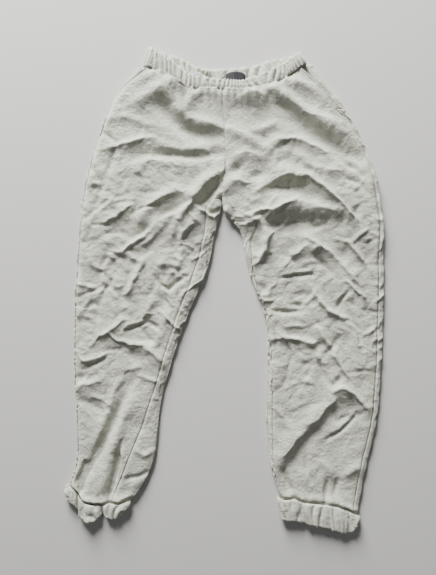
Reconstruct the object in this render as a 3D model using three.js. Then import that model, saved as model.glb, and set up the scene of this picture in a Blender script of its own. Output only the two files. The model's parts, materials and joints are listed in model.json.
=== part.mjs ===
// Jogging trousers in fleece-backed jersey, laid flat on their back with the front facing up.
//
// Frame: millimetres, +X towards the wearer's left leg, +Y towards the waist, +Z up from the floor.
// The origin is the bottom centre of the box around the whole garment.
// "left" and "right" are the wearer's own sides.
//
// The garment is built as it is sewn: front and back panels with an air space between them, a folded
// waistband and two folded cuffs with their elastics inside, slant pockets with their bags and facings,
// two labels, and the overlocked seams that hold it all together.
// Each leg folds up over its own front at the knee, as it does when the trousers are put away.

import * as THREE from "three";

// ---- Driving dimensions -------------------------------------------------------------------------

const CLEARANCE = 0.4; // left between pieces that touch
const SEAM_GAP = 2; // between a panel and the band sewn to it, whose curves are cut into straight runs
const PANEL_THICKNESS = 3; // fleece, with the slack of its small creases
const LINING_THICKNESS = 1; // pocket bag cloth
const FACING_THICKNESS = 1.5;

const LEG_RISE = 12; // underside of a front panel above the floor, along the legs
const HIP_RISE = 18; // the same over the hips, where the pocket bags lie inside
const EDGE_ROLL = 25; // how far in from the outline a front panel takes to climb to its full height

const CASING_WALL = 2; // one layer of a folded band
const ELASTIC_THICKNESS = 1.8;
const WAIST_LIFT = 17.5; // middle of the waistband's front run above the floor
const CUFF_LIFT = 15.5; // the same for a cuff
const WAIST_TOP_HALF_WIDTH = 161; // half the relaxed waist, along the fold
const WAIST_FLARE = 0.08; // how much wider the waistband is at its seam than at its fold
const WAISTBAND_HEIGHT = 38;
const WAIST_SEAM_HALF_WIDTH = WAIST_TOP_HALF_WIDTH * (1 + WAIST_FLARE);
const CUFF_HEIGHT = 45;
const CUFF_FLARE = 0.16;

const KNEE_Y = -110; // the fold line of the legs
const CROTCH_Y = 176;
const ELASTIC_END = 0.86; // the elastic stops short of the seam, at this share of the band's height
const BACK_BAG_LOW = 7.4;
const BAG_SLACK = 2; // between the front layer of a bag and the panel above it
const FACING_SLACK = 1; // between the back layer of a bag and the facing on it

const OVERLOCK_WIDTH = 6;
const OVERLOCK_THICKNESS = 1.4;
const OVERLOCK_INSET = 5; // from the outline to the overlocked edge inside it

const POCKET_BAG_BOTTOM = 255;
const POCKET_BAG_INNER = 62; // the bag's inner edge, from the middle of the garment
const BAG_INSET = 15; // the bags stop this far inside the outline
const FACING_DEPTH = 45; // how far the facing runs in behind the pocket mouth
const FACING_INSET = 5;
const POCKET_TOP_GAP = 4; // from the waistband's seam to the pocket pieces sewn into it
const TOPSTITCH_WIDTH = 6;
const TOPSTITCH_THICKNESS = 0.6;
const TOPSTITCH_INSET = 3;

const LABEL = { x: 20, top: 466, width: 44, height: 40, thickness: 1 };
const CARE_LABEL = { x: -64, top: 468, width: 24, height: 36, thickness: 0.8 };

// Outlines, from the waist down. Each is a smooth curve through a few points.
const OUTER_EDGE = {
  left: [[WAIST_SEAM_HALF_WIDTH + 1, 468], [WAIST_SEAM_HALF_WIDTH + 29, 447],
    [WAIST_SEAM_HALF_WIDTH + 66, 405], [266, 363], [287, 317], [308, 265], [322, 212], [331, 149], [334, 76],
    [334, -19], [331, -113], [327, -197], [318, -281], [303, -344], [291, -397], [284, -440],
    [276, -477]],
  right: [[1 - WAIST_SEAM_HALF_WIDTH, 472], [-20 - WAIST_SEAM_HALF_WIDTH, 454],
    [-45 - WAIST_SEAM_HALF_WIDTH, 422], [-68 - WAIST_SEAM_HALF_WIDTH, 380], [-259, 338], [-274, 292],
    [-289, 237],
    [-299, 181], [-305, 118], [-309, 55], [-314, -19], [-316, -92], [-316, -166], [-312, -239],
    [-311, -313], [-312, -360], [-322, -395]],
};
const INNER_EDGE = {
  left: [[-7, 176], [0, 154], [16, 141], [33, 128], [37, 97], [45, 61], [60, 13], [77, -29], [88, -65],
    [91, -113], [89, -197], [87, -271], [89, -323], [98, -372], [110, -407], [117, -439]],
  right: [[-7, 176], [-10, 165], [-15, 145], [-24, 111], [-30, 75], [-41, 34], [-58, -2], [-74, -40],
    [-89, -78], [-102, -113], [-114, -155], [-129, -204], [-138, -250], [-142, -302], [-146, -340],
    [-153, -371], [-165, -396], [-186, -427], [-206, -449]],
};
const RISE_SEAM = [[-8, 470], [-7, 428], [-5, 400], [-2, 340], [0, 275], [-4, 235], [-7, 176]];
const FRONT_FOLD = [[-190, 512], [-159, 507], [-127, 493], [-96, 472], [-81, 460], [-54, 453], [-1, 449],
  [30, 446], [62, 454], [104, 470], [135, 485], [163, 500], [190, 506]];
const BACK_FOLD = [[-190, 512], [-159, 508], [-127, 499], [-96, 490], [-79, 480], [-54, 469], [-22, 465],
  [9, 468], [51, 471], [68, 475], [93, 485], [125, 488], [163, 501], [190, 506]];
const POCKET_MOUTH = {
  left: [[WAIST_SEAM_HALF_WIDTH - 20, 470], [259, 365]],
  right: [[14 - WAIST_SEAM_HALF_WIDTH, 474], [-238, 389]],
};
const CUFF_SEAM = { left: [[117, -439], [276, -477]], right: [[-322, -395], [-206, -449]] };

const SIDES = ["left", "right"];
const OUTWARD = { left: 1, right: -1 };

// ---- Curves and cross-sections ------------------------------------------------------------------

const CURVE_SAMPLES = 200;

// The smooth curve through points, as a function that gives one coordinate from the other.
function along(points, from, to) {
  const curve = new THREE.SplineCurve(points.map(([x, y]) => new THREE.Vector2(x, y)));
  const samples = curve.getPoints(CURVE_SAMPLES).sort((a, b) => a[from] - b[from]);
  return (value) => {
    const next = Math.min(
      Math.max(samples.findIndex((point) => point[from] > value), 1) || samples.length - 1,
      samples.length - 1,
    );
    const at = value > samples[samples.length - 1][from] ? samples.length - 1 : next;
    const a = samples[at - 1];
    const b = samples[at];
    const share = (value - a[from]) / Math.max(b[from] - a[from], 1e-6);
    return THREE.MathUtils.lerp(a[to], b[to], THREE.MathUtils.clamp(share, 0, 1));
  };
}

const outerEdge = { left: along(OUTER_EDGE.left, "y", "x"), right: along(OUTER_EDGE.right, "y", "x") };
const innerEdge = { left: along(INNER_EDGE.left, "y", "x"), right: along(INNER_EDGE.right, "y", "x") };
const riseSeam = along(RISE_SEAM, "y", "x");
const frontFold = along(FRONT_FOLD, "x", "y");
const backFold = along(BACK_FOLD, "x", "y");
const frontSeam = (x) => frontFold(x / (1 + WAIST_FLARE)) - WAISTBAND_HEIGHT * bandHeightShare(x);
const backSeam = (x) => backFold(x / (1 + WAIST_FLARE)) - WAISTBAND_HEIGHT;

// The front of the waistband rolls over in the middle, which makes it look narrower there.
function bandHeightShare(x) {
  return 0.76 + 0.24 * Math.min(1, Math.abs(x) / WAIST_TOP_HALF_WIDTH);
}

// Where a side's panels end towards the middle: on the rise seam above the crotch, on the inseam below it.
function middleEdge(side, y) {
  return y > CROTCH_Y ? riseSeam(y) : innerEdge[side](y);
}

// From 0 on the outline to 1 where a panel lies flat: a quarter of an ellipse.
function roll(distance) {
  const left = 1 - THREE.MathUtils.clamp(distance / EDGE_ROLL, 0, 1);
  return Math.sqrt(1 - left * left);
}

// How far a layer at (x, y) has climbed from the outline, from 0 to 1.
function climb(side, x, y) {
  const fromOuter = (outerEdge[side](y) - x) * OUTWARD[side];
  const fromInner = (x - middleEdge(side, y)) * OUTWARD[side] + Math.max(0, y - CROTCH_Y);
  return roll(fromOuter) * roll(fromInner);
}

// The underside of a front panel.
function underside(side, x, y) {
  const share = THREE.MathUtils.smoothstep(y, 100, POCKET_BAG_BOTTOM - EDGE_ROLL);
  const rise = THREE.MathUtils.lerp(LEG_RISE, HIP_RISE, share);
  const low = PANEL_THICKNESS + CLEARANCE;
  return low + (rise - low) * climb(side, x, y);
}

// A layer inside the hip, scaled with the space so that the layers stay in order towards the outline.
function hipLayer(side, x, y, height) {
  const low = PANEL_THICKNESS + CLEARANCE;
  return low + (height - low) * climb(side, x, y);
}

// ---- Making solids ------------------------------------------------------------------------------

const smoothEnds = (u) => 0.5 - 0.5 * Math.cos(Math.PI * u);

// A closed sheet: a box whose grid is carried to place(u, v, w), with u to +X, v to +Y and w through it.
function sheet(columns, rows, place) {
  const geometry = new THREE.BoxGeometry(1, 1, 1, columns, rows, 1);
  const position = geometry.getAttribute("position");
  const point = new THREE.Vector3();
  for (let i = 0; i < position.count; i++) {
    point.fromBufferAttribute(position, i).addScalar(0.5);
    point.set(...place(smoothEnds(point.x), point.y, point.z));
    position.setXYZ(i, point.x, point.y, point.z);
  }
  geometry.deleteAttribute("normal");
  geometry.deleteAttribute("uv");
  geometry.computeVertexNormals();
  return geometry;
}

// A sheet between two edges that are x from y and two ends that are y from the share across.
function sheetBetween({ columns, rows, west, east, south, north, bottom, top }) {
  return sheet(columns, rows, (u, v, w) => {
    const y = THREE.MathUtils.lerp(south(u), north(u), v);
    const x = THREE.MathUtils.lerp(west(y), east(y), u);
    const z = w > 0.5 ? top(x, y) : bottom(x, y);
    return [x, y, z];
  });
}

// Where a sheet between two edges meets a seam that is y from x: the height at share u of its width.
function meeting({ west, east }, seam, gap) {
  const ROUNDS = 30;
  return (u) => {
    let y = seam(0);
    for (let i = 0; i < ROUNDS; i++) y = seam(THREE.MathUtils.lerp(west(y), east(y), u)) + gap;
    return y;
  };
}

// The run of a flattened loop seen along its axis: over the front, round one end, back underneath and
// round the other end. Each step is a place, its outward normal, and its share of the front run.
function flattenedLoop(halfWidth, lowest, highest) {
  const RUN_STEPS = 26;
  const TURN_STEPS = 6;
  const middle = (lowest + highest) / 2;
  const radius = (highest - lowest) / 2;
  const straight = halfWidth - radius;
  const steps = [];
  for (let i = 0; i < RUN_STEPS; i++)
    steps.push({ x: straight * ((2 * i) / RUN_STEPS - 1), z: highest, nx: 0, nz: 1, front: 1 });
  for (let i = 0; i < TURN_STEPS; i++) {
    const angle = (Math.PI * i) / TURN_STEPS;
    const nx = Math.sin(angle);
    const nz = Math.cos(angle);
    steps.push({ x: straight + radius * nx, z: middle + radius * nz, nx, nz, front: (1 + nz) / 2 });
  }
  for (let i = 0; i < RUN_STEPS; i++)
    steps.push({ x: straight * (1 - (2 * i) / RUN_STEPS), z: lowest, nx: 0, nz: -1, front: 0 });
  for (let i = 0; i < TURN_STEPS; i++) {
    const angle = (Math.PI * i) / TURN_STEPS;
    const nx = -Math.sin(angle);
    const nz = -Math.cos(angle);
    steps.push({ x: -straight + radius * nx, z: middle + radius * nz, nx, nz, front: (1 + nz) / 2 });
  }
  return steps;
}

// A closed ring: a torus whose section has the given corners and whose path is the loop's steps.
// A corner is [offset along the loop's normal, share of the band's height from its fold to its seam].
function ring(corners, steps, place) {
  const geometry = new THREE.TorusGeometry(2, 1, corners.length, steps.length);
  const position = geometry.getAttribute("position");
  const perRow = steps.length + 1;
  for (let i = 0; i < position.count; i++) {
    const [offset, share] = corners[Math.floor(i / perRow) % corners.length];
    const step = steps[(i % perRow) % steps.length];
    position.setXYZ(i, ...place(step, offset, share));
  }
  geometry.deleteAttribute("normal");
  geometry.deleteAttribute("uv");
  geometry.computeVertexNormals();
  return geometry;
}

const HALF_CHANNEL = ELASTIC_THICKNESS / 2 + CLEARANCE;
const HALF_BAND = HALF_CHANNEL + CASING_WALL;

// A strip folded in half round the elastic: a U whose open side is sewn to the panels.
function foldedSection(height) {
  const fold = CASING_WALL / height;
  return [[HALF_BAND, 0], [-HALF_BAND, 0], [-HALF_BAND, 1], [-HALF_CHANNEL, 1],
    [-HALF_CHANNEL, fold], [HALF_CHANNEL, fold], [HALF_CHANNEL, 1], [HALF_BAND, 1]];
}

// The elastic lies in the fold and stops short of the seam.

function elasticSection(height) {
  const half = ELASTIC_THICKNESS / 2;
  const start = (CASING_WALL + CLEARANCE) / height;
  return [[half, start], [-half, start], [-half, ELASTIC_END], [half, ELASTIC_END]];
}

const garment = new THREE.Group();

function add(name, geometry, material) {
  const mesh = new THREE.Mesh(geometry, material);
  mesh.name = name;
  garment.add(mesh);
}

// ---- Materials ----------------------------------------------------------------------------------

const cloth = (color, roughness = 0.9) =>
  new THREE.MeshStandardMaterial({ color, roughness, metalness: 0 });
const FLEECE = cloth(0xc3c4b8);
const LINING = cloth(0xcfd0c6);
const ELASTIC = cloth(0xf0f0ea, 0.7);
const THREAD = cloth(0xb4b6a8, 0.8);
const LABEL_CLOTH = cloth(0x17181a, 0.5);
const CARE_CLOTH = cloth(0xd8dad6, 0.4);

// ---- Panels -------------------------------------------------------------------------------------

// The two sides of the knee line, where the thigh pieces end and the shin pieces start.
const aboveKnee = () => KNEE_Y + CLEARANCE;
const belowKnee = () => KNEE_Y - CLEARANCE;

// A side's west and east edges, with x growing to +X, kept clear of the other side by a half gap.
function spanOf(side, outer) {
  const middle = (y) => middleEdge(side, y) + (OUTWARD[side] * CLEARANCE) / 2;
  return side === "left" ? { west: middle, east: outer } : { west: outer, east: middle };
}

// The line of a cuff's seam as y from x.
function cuffSeam(side) {
  const [[x0, y0], [x1, y1]] = CUFF_SEAM[side];
  return (x) => y0 + ((y1 - y0) * (x - x0)) / (x1 - x0);
}

// The pocket mouth as x from y, ending on the outline.
function pocketMouth(side) {
  const [[x0, y0], [x1, y1]] = POCKET_MOUTH[side];
  const line = (y) => x0 + ((x1 - x0) * (y - y0)) / (y1 - y0);
  const nearer = OUTWARD[side] > 0 ? Math.min : Math.max;
  return (y) => nearer(line(y), outerEdge[side](y));
}

for (const side of SIDES) {
  const frontSpan = spanOf(side, pocketMouth(side));
  const backSpan = spanOf(side, outerEdge[side]);
  const seam = cuffSeam(side);
  const low = (x, y) => underside(side, x, y);
  const high = (x, y) => underside(side, x, y) + PANEL_THICKNESS;

  add(`front_panel_${side}_thigh`, sheetBetween({
    columns: 14, rows: 22, ...frontSpan, bottom: low, top: high,
    south: aboveKnee, north: meeting(frontSpan, frontSeam, -SEAM_GAP),
  }), FLEECE);
  add(`front_panel_${side}_shin`, sheetBetween({
    columns: 10, rows: 12, ...frontSpan, bottom: low, top: high,
    south: meeting(frontSpan, seam, CLEARANCE), north: belowKnee,
  }), FLEECE);
  add(`back_panel_${side}_thigh`, sheetBetween({
    columns: 10, rows: 22, ...backSpan, bottom: () => 0, top: () => PANEL_THICKNESS,
    south: aboveKnee, north: meeting(backSpan, backSeam, -SEAM_GAP),
  }), FLEECE);
  add(`back_panel_${side}_shin`, sheetBetween({
    columns: 4, rows: 12, ...backSpan, bottom: () => 0, top: () => PANEL_THICKNESS,
    south: meeting(backSpan, seam, CLEARANCE), north: belowKnee,
  }), FLEECE);
}

// ---- Waistband ----------------------------------------------------------------------------------

const waistLoop = flattenedLoop(WAIST_TOP_HALF_WIDTH - HALF_BAND, HALF_BAND, WAIST_LIFT);

function onWaistband(step, offset, share) {
  const x = (step.x + step.nx * offset) * (1 + WAIST_FLARE * share);
  const fold = THREE.MathUtils.lerp(backFold(step.x), frontFold(step.x), step.front);
  const height = WAISTBAND_HEIGHT * THREE.MathUtils.lerp(1, bandHeightShare(x), step.front);
  return [x, fold - height * share, step.z + step.nz * offset];
}

add("waistband_casing", ring(foldedSection(WAISTBAND_HEIGHT), waistLoop, onWaistband), FLEECE);
add("waist_elastic",
  ring(elasticSection(WAISTBAND_HEIGHT * bandHeightShare(0)), waistLoop, onWaistband), ELASTIC);

// ---- Cuffs --------------------------------------------------------------------------------------

for (const side of SIDES) {
  const [[x0, y0], [x1, y1]] = CUFF_SEAM[side];
  const seamLength = Math.hypot(x1 - x0, y1 - y0);
  const alongSeam = [(x1 - x0) / seamLength, (y1 - y0) / seamLength];
  const downLeg = [alongSeam[1], -alongSeam[0]];
  const foldHalfWidth = seamLength / 2 / (1 + CUFF_FLARE);
  const loop = flattenedLoop(foldHalfWidth - HALF_BAND, HALF_BAND, CUFF_LIFT);
  const onCuff = (step, offset, share) => {
    const across = (step.x + step.nx * offset) * (1 + CUFF_FLARE * share);
    const down = CUFF_HEIGHT * (1 - share) + CLEARANCE;
    return [
      (x0 + x1) / 2 + alongSeam[0] * across + downLeg[0] * down,
      (y0 + y1) / 2 + alongSeam[1] * across + downLeg[1] * down,
      step.z + step.nz * offset,
    ];
  };
  // The fold is at the bottom of a cuff, so its section runs the other way round.
  add(`cuff_${side}_casing`, ring(foldedSection(CUFF_HEIGHT).reverse(), loop, onCuff), FLEECE);
  add(`cuff_${side}_elastic`,
    ring(elasticSection(CUFF_HEIGHT).reverse(), loop, onCuff), ELASTIC);
}

// ---- Pockets ------------------------------------------------------------------------------------

const FACING_LOW = BACK_BAG_LOW + LINING_THICKNESS + FACING_SLACK;
const FRONT_BAG_TOP = HIP_RISE - BAG_SLACK;

for (const side of SIDES) {
  const out = OUTWARD[side];
  const mouth = pocketMouth(side);
  const layer = (height) => (x, y) => hipLayer(side, x, y, height);
  const between = (innermost, outermost) =>
    out > 0 ? { west: innermost, east: outermost } : { west: outermost, east: innermost };
  const bagInner = () => out * POCKET_BAG_INNER;
  const mouthBottom = POCKET_MOUTH[side][1][1];
  const insideOutline = (y) => outerEdge[side](y) - out * BAG_INSET;
  const insideMouth = (y) => {
    const edge = mouth(y) - out * TOPSTITCH_INSET;
    return out > 0 ? Math.min(edge, insideOutline(y)) : Math.max(edge, insideOutline(y));
  };
  const backBag = between(bagInner, insideOutline);
  const frontBag = between(bagInner, insideMouth);
  const facing = between(
    (y) => mouth(y) - out * FACING_DEPTH,
    (y) => outerEdge[side](y) - out * FACING_INSET,
  );

  add(`pocket_bag_${side}_back`, sheetBetween({
    columns: 8, rows: 6, ...backBag,
    south: () => POCKET_BAG_BOTTOM, north: meeting(backBag, frontSeam, -POCKET_TOP_GAP),
    bottom: layer(BACK_BAG_LOW), top: layer(BACK_BAG_LOW + LINING_THICKNESS),
  }), LINING);
  add(`pocket_bag_${side}_front`, sheetBetween({
    columns: 8, rows: 6, ...frontBag,
    south: () => POCKET_BAG_BOTTOM, north: meeting(frontBag, frontSeam, -POCKET_TOP_GAP),
    bottom: layer(FRONT_BAG_TOP - LINING_THICKNESS), top: layer(FRONT_BAG_TOP),
  }), LINING);
  add(`pocket_facing_${side}`, sheetBetween({
    columns: 6, rows: 8, ...facing,
    south: () => mouthBottom, north: meeting(facing, frontSeam, -POCKET_TOP_GAP),
    bottom: layer(FACING_LOW), top: layer(FACING_LOW + FACING_THICKNESS),
  }), FLEECE);
  // Two close rows of stitches along the edge of the mouth.
  const stitchLow = (x, y) => underside(side, x, y) + PANEL_THICKNESS + CLEARANCE;
  const stitches = between(
    (y) => mouth(y) - out * (TOPSTITCH_INSET + TOPSTITCH_WIDTH),
    (y) => mouth(y) - out * TOPSTITCH_INSET,
  );
  add(`pocket_topstitch_${side}`, sheetBetween({
    columns: 1, rows: 8, ...stitches,
    south: () => mouthBottom + OVERLOCK_INSET, north: meeting(stitches, frontSeam, -POCKET_TOP_GAP),
    bottom: stitchLow, top: (x, y) => stitchLow(x, y) + TOPSTITCH_THICKNESS,
  }), THREAD);
}

// ---- Labels, lying on the inside of the waistband's back run --------------------------------------

function label({ x, top, width, height, thickness }) {
  const low = 2 * HALF_BAND + CLEARANCE;
  return new THREE.BoxGeometry(width, height, thickness).translate(x, top - height / 2, low + thickness / 2);
}

add("brand_label", label(LABEL), LABEL_CLOTH);
add("care_label", label(CARE_LABEL), CARE_CLOTH);

// ---- Overlocked seams, inside the garment ----------------------------------------------------------

for (const side of SIDES) {
  const out = OUTWARD[side];
  const low = PANEL_THICKNESS + CLEARANCE;
  const seamStrip = (edge, inward, south, north) => {
    const near = (y) => edge(y) + inward * OVERLOCK_INSET;
    const far = (y) => edge(y) + inward * (OVERLOCK_INSET + OVERLOCK_WIDTH);
    return sheetBetween({
      columns: 1, rows: 14, south, north,
      ...(inward > 0 ? { west: near, east: far } : { west: far, east: near }),
      bottom: () => low, top: () => low + OVERLOCK_THICKNESS,
    });
  };
  const seam = cuffSeam(side);
  const [[westX], [eastX]] = CUFF_SEAM[side];
  const ankleOuter = () => seam(out > 0 ? eastX : westX) + 12;
  const ankleInner = () => seam(out > 0 ? westX : eastX) + 12;
  const outer = outerEdge[side];
  const inner = innerEdge[side];
  const sideTop = () => POCKET_MOUTH[side][1][1] - 6;
  const crotchSide = () => CROTCH_Y - 22;

  add(`outseam_thread_${side}_thigh`, seamStrip(outer, -out, aboveKnee, sideTop), THREAD);
  add(`outseam_thread_${side}_shin`, seamStrip(outer, -out, ankleOuter, belowKnee), THREAD);
  add(`inseam_thread_${side}_thigh`, seamStrip(inner, out, aboveKnee, crotchSide), THREAD);
  add(`inseam_thread_${side}_shin`, seamStrip(inner, out, ankleInner, belowKnee), THREAD);
}

const riseStrip = (bottom, top, south, north) => sheetBetween({
  columns: 1, rows: 14,
  west: (y) => riseSeam(y) - OVERLOCK_WIDTH / 2, east: (y) => riseSeam(y) + OVERLOCK_WIDTH / 2,
  south: () => CROTCH_Y + south, north: () => north, bottom, top,
});
const MIDDLE_X = RISE_SEAM[1][0];
const underBoth = (x, y) => Math.min(underside("left", riseSeam(y) + OVERLOCK_WIDTH, y),
  underside("right", riseSeam(y) - OVERLOCK_WIDTH, y)) - CLEARANCE;
// The front strip hangs under the panels and starts where they have climbed from the crotch.
add("rise_thread_front", riseStrip((x, y) => underBoth(x, y) - OVERLOCK_THICKNESS, underBoth,
  EDGE_ROLL + OVERLOCK_INSET, frontSeam(MIDDLE_X) - 4), THREAD);
add("rise_thread_back", riseStrip(() => PANEL_THICKNESS + CLEARANCE,
  () => PANEL_THICKNESS + CLEARANCE + OVERLOCK_THICKNESS,
  OVERLOCK_INSET, backSeam(MIDDLE_X) - 4), THREAD);

// ---- Origin at the bottom centre of the garment's box ---------------------------------------------

const box = new THREE.Box3().setFromObject(garment);
const centre = box.getCenter(new THREE.Vector3());
garment.position.set(-centre.x, -centre.y, -box.min.z);

export default garment;
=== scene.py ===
# %% [markdown]
# # Jogging trousers, laid flat
#
# A pair of fleece jogging trousers lies on its back. Its size, its seams and the two knee folds come from
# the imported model. Here the cloth gets its folds, its gathers, its stitching and its finish.
# Everything is in metres, with +X to the wearer's left, +Y to the waist and +Z up.
# Each cell makes one thing and prints what it made.

# %% Load the frame
import json

import bmesh
import bpy
import numpy as np
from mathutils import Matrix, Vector


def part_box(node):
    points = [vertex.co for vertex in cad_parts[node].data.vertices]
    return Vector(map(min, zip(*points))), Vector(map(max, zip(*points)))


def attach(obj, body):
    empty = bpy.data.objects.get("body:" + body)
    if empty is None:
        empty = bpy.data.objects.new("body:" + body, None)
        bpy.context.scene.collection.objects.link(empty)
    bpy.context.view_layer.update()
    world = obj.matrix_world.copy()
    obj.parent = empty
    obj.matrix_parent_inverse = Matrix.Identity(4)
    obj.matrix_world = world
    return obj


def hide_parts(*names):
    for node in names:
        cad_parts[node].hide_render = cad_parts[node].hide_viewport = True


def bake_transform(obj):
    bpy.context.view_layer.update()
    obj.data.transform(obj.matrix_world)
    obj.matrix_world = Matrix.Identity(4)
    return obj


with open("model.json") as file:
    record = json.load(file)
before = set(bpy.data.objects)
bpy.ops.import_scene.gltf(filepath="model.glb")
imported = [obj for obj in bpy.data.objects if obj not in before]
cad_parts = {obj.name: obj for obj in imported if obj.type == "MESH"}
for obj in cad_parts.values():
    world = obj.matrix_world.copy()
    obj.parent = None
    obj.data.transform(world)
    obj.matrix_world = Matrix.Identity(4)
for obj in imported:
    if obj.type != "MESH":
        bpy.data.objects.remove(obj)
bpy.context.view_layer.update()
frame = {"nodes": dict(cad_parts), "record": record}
MM = 0.001
SIDES = ("right", "left")
OUTWARD = {"right": -1, "left": 1}

# %% [markdown]
# ## The camera
#
# A person holds a wide lens straight over the trousers, a little under a metre up. From so near, cloth that
# stands proud of the floor looks larger than it is. `from_above` takes a place as the eye sees it against the
# floor and brings it down to where it is on the cloth, so folds can be given as they are seen.

# %% Camera
CAMERA_HEIGHT = 0.95
CAMERA_PLACE = (-0.016, 0.0127)
VIEW_HEIGHT = 1.219  # how much floor the view takes in from top to bottom
SENSOR = 36.0
CLOTH_HEIGHT = 0.014  # the usual height of the front panels

camera_data = bpy.data.cameras.new("camera")
camera_data.sensor_fit = "VERTICAL"
camera_data.sensor_height = SENSOR
camera_data.lens = SENSOR * CAMERA_HEIGHT / VIEW_HEIGHT
camera = bpy.data.objects.new("camera", camera_data)
camera.location = (*CAMERA_PLACE, CAMERA_HEIGHT)
bpy.context.scene.collection.objects.link(camera)
bpy.context.scene.camera = camera


def from_above(points_mm):
    """Places in mm as seen against the floor, moved towards the camera's foot by the cloth's share of the
    camera's height."""
    centre = np.array(CAMERA_PLACE)
    seen = np.asarray(points_mm, float) * MM
    return centre + (seen - centre) * (1 - CLOTH_HEIGHT / CAMERA_HEIGHT)


print("lens", round(camera_data.lens, 1), "mm")

# %% [markdown]
# ## Where the cut pieces end
#
# The flat outline of the trousers is in the CAD panels. A line across a panel's mesh meets its rim at two
# places, so `extent` slices the triangles' edges with a row of lines and keeps the lowest and highest
# crossing.

# %% Outlines from the frame
PLAIN = 1e-6  # below this a length counts as nothing
REACH_OUT = 12 * MM  # how far a curve may go on past its samples
ROW_STEP = 6 * MM
WAIST_MARGIN = {"outer": 36 * MM, "inner": 45 * MM}  # rows nearer the waist than this give a wrong slope
ANKLE_MARGIN = {"outer": 56 * MM, "inner": 40 * MM}  # the same at the ankle, where a leg's edge turns in


def edges_of(nodes, z_range):
    """The ends of every triangle edge of some CAD nodes whose middle lies between two heights."""
    ends = []
    for name in nodes:
        mesh = frame["nodes"][name].data
        points = np.empty(len(mesh.vertices) * 3)
        mesh.vertices.foreach_get("co", points)
        pairs = np.empty(len(mesh.edges) * 2, int)
        mesh.edges.foreach_get("vertices", pairs)
        ends.append(points.reshape(-1, 3)[pairs.reshape(-1, 2)])
    ends = np.concatenate(ends)
    middle = ends[:, :, 2].mean(1)
    return ends[(middle > z_range[0]) & (middle < z_range[1])]


def extent(nodes, axis, at, z_range=(-1, 1)):
    """For each value in `at` of coordinate `axis` (0 is x, 1 is y): the least and most of the other one."""
    ends = edges_of(nodes, z_range)
    a, b = ends[:, 0], ends[:, 1]
    span = b[:, axis] - a[:, axis]
    share = (at[:, None] - a[:, axis]) / np.where(np.abs(span) < PLAIN, np.nan, span)
    other = a[:, 1 - axis] + share * (b[:, 1 - axis] - a[:, 1 - axis])
    other = np.where((share >= 0) & (share <= 1), other, np.nan)
    return np.nanmin(other, 1), np.nanmax(other, 1)


def smooth_curve(at, values, passes=3, reach=REACH_OUT):
    """A curve through sampled values: each pass averages a value with its two neighbours, ends kept. It goes
    on straight for a short way past its ends."""
    values = values.copy()
    for _ in range(passes):
        values[1:-1] = 0.25 * values[:-2] + 0.5 * values[1:-1] + 0.25 * values[2:]
    slope_low = (values[1] - values[0]) / (at[1] - at[0])
    slope_high = (values[-1] - values[-2]) / (at[-1] - at[-2])

    def curve(x):
        x = np.asarray(x, float)
        inside = np.interp(x, at, values)
        below = values[0] + slope_low * np.maximum(x - at[0], -reach)
        above = values[-1] + slope_high * np.minimum(x - at[-1], reach)
        return np.where(x < at[0], below, np.where(x > at[-1], above, inside))

    return curve


KNEE_GAP = 2 * MM  # rows this near the cut at the knee are left out
OUTER_REACH = 50 * MM
HINGE = {side: Vector(joint["pos_m"]) for side in SIDES
         for joint in frame["record"]["behaviour"]["joints"] if joint["name"] == f"{side}_knee_fold"}
EDGE = {}
for side in SIDES:
    back = [f"back_panel_{side}_thigh", f"back_panel_{side}_shin"]
    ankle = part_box(f"back_panel_{side}_shin")[0][1]
    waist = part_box(f"back_panel_{side}_thigh")[1][1]
    rows = np.arange(ankle + 4 * MM, waist - 10 * MM, ROW_STEP)
    rows = rows[np.abs(rows - HINGE[side].y) > KNEE_GAP]
    west, east = extent(back, 1, rows)
    outer, inner = (east, west) if side == "left" else (west, east)
    inner_rows = rows < waist - WAIST_MARGIN["inner"]
    if side == "left":
        inner_rows &= rows > ankle + ANKLE_MARGIN["inner"]
    outer_rows = rows > (ankle + ANKLE_MARGIN["outer"] if side == "right" else ankle)
    outer_rows &= rows < waist - WAIST_MARGIN["outer"]
    EDGE[side] = {
        "outer": smooth_curve(rows[outer_rows], outer[outer_rows], reach=OUTER_REACH),
        "inner": smooth_curve(rows[inner_rows], inner[inner_rows]),
    }
    leg_width = abs(float(EDGE[side]["outer"](0.0) - EDGE[side]["inner"](0.0)))
    print(side, "leg is", round(leg_width / MM), "mm wide at y = 0")

columns = np.arange(-150 * MM, 150.1 * MM, ROW_STEP)
HALF_BAND_Z = 0.5 * (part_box("waistband_casing")[0][2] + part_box("waistband_casing")[1][2])
WAIST_SEAM, WAIST_FOLD = {}, {}
for layer, heights in (("front", (HALF_BAND_Z, 1)), ("back", (-1, HALF_BAND_Z))):
    lower, upper = extent(["waistband_casing"], 0, columns, heights)
    WAIST_SEAM[layer], WAIST_FOLD[layer] = smooth_curve(columns, lower), smooth_curve(columns, upper)
LIFT_START, LIFT_REACH, LIFT = 85 * MM, 83 * MM, 17 * MM  # the seam's pull towards the waist at +X


def waist_line(layer, x):
    """The waistband's lower seam; towards +X it is pulled to the waist by lift * share ** 2 * (1.6 - 0.6 *
    share), where the share runs from 0 at the start of the pull to 1 at the end."""
    share = np.clip((x - LIFT_START) / LIFT_REACH, 0, 1)
    return WAIST_SEAM[layer](x) + LIFT * share * share * (1.6 - 0.6 * share)


print("waist seam, front middle, mm:", round(float(WAIST_SEAM["front"](0.0)) / MM))
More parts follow.
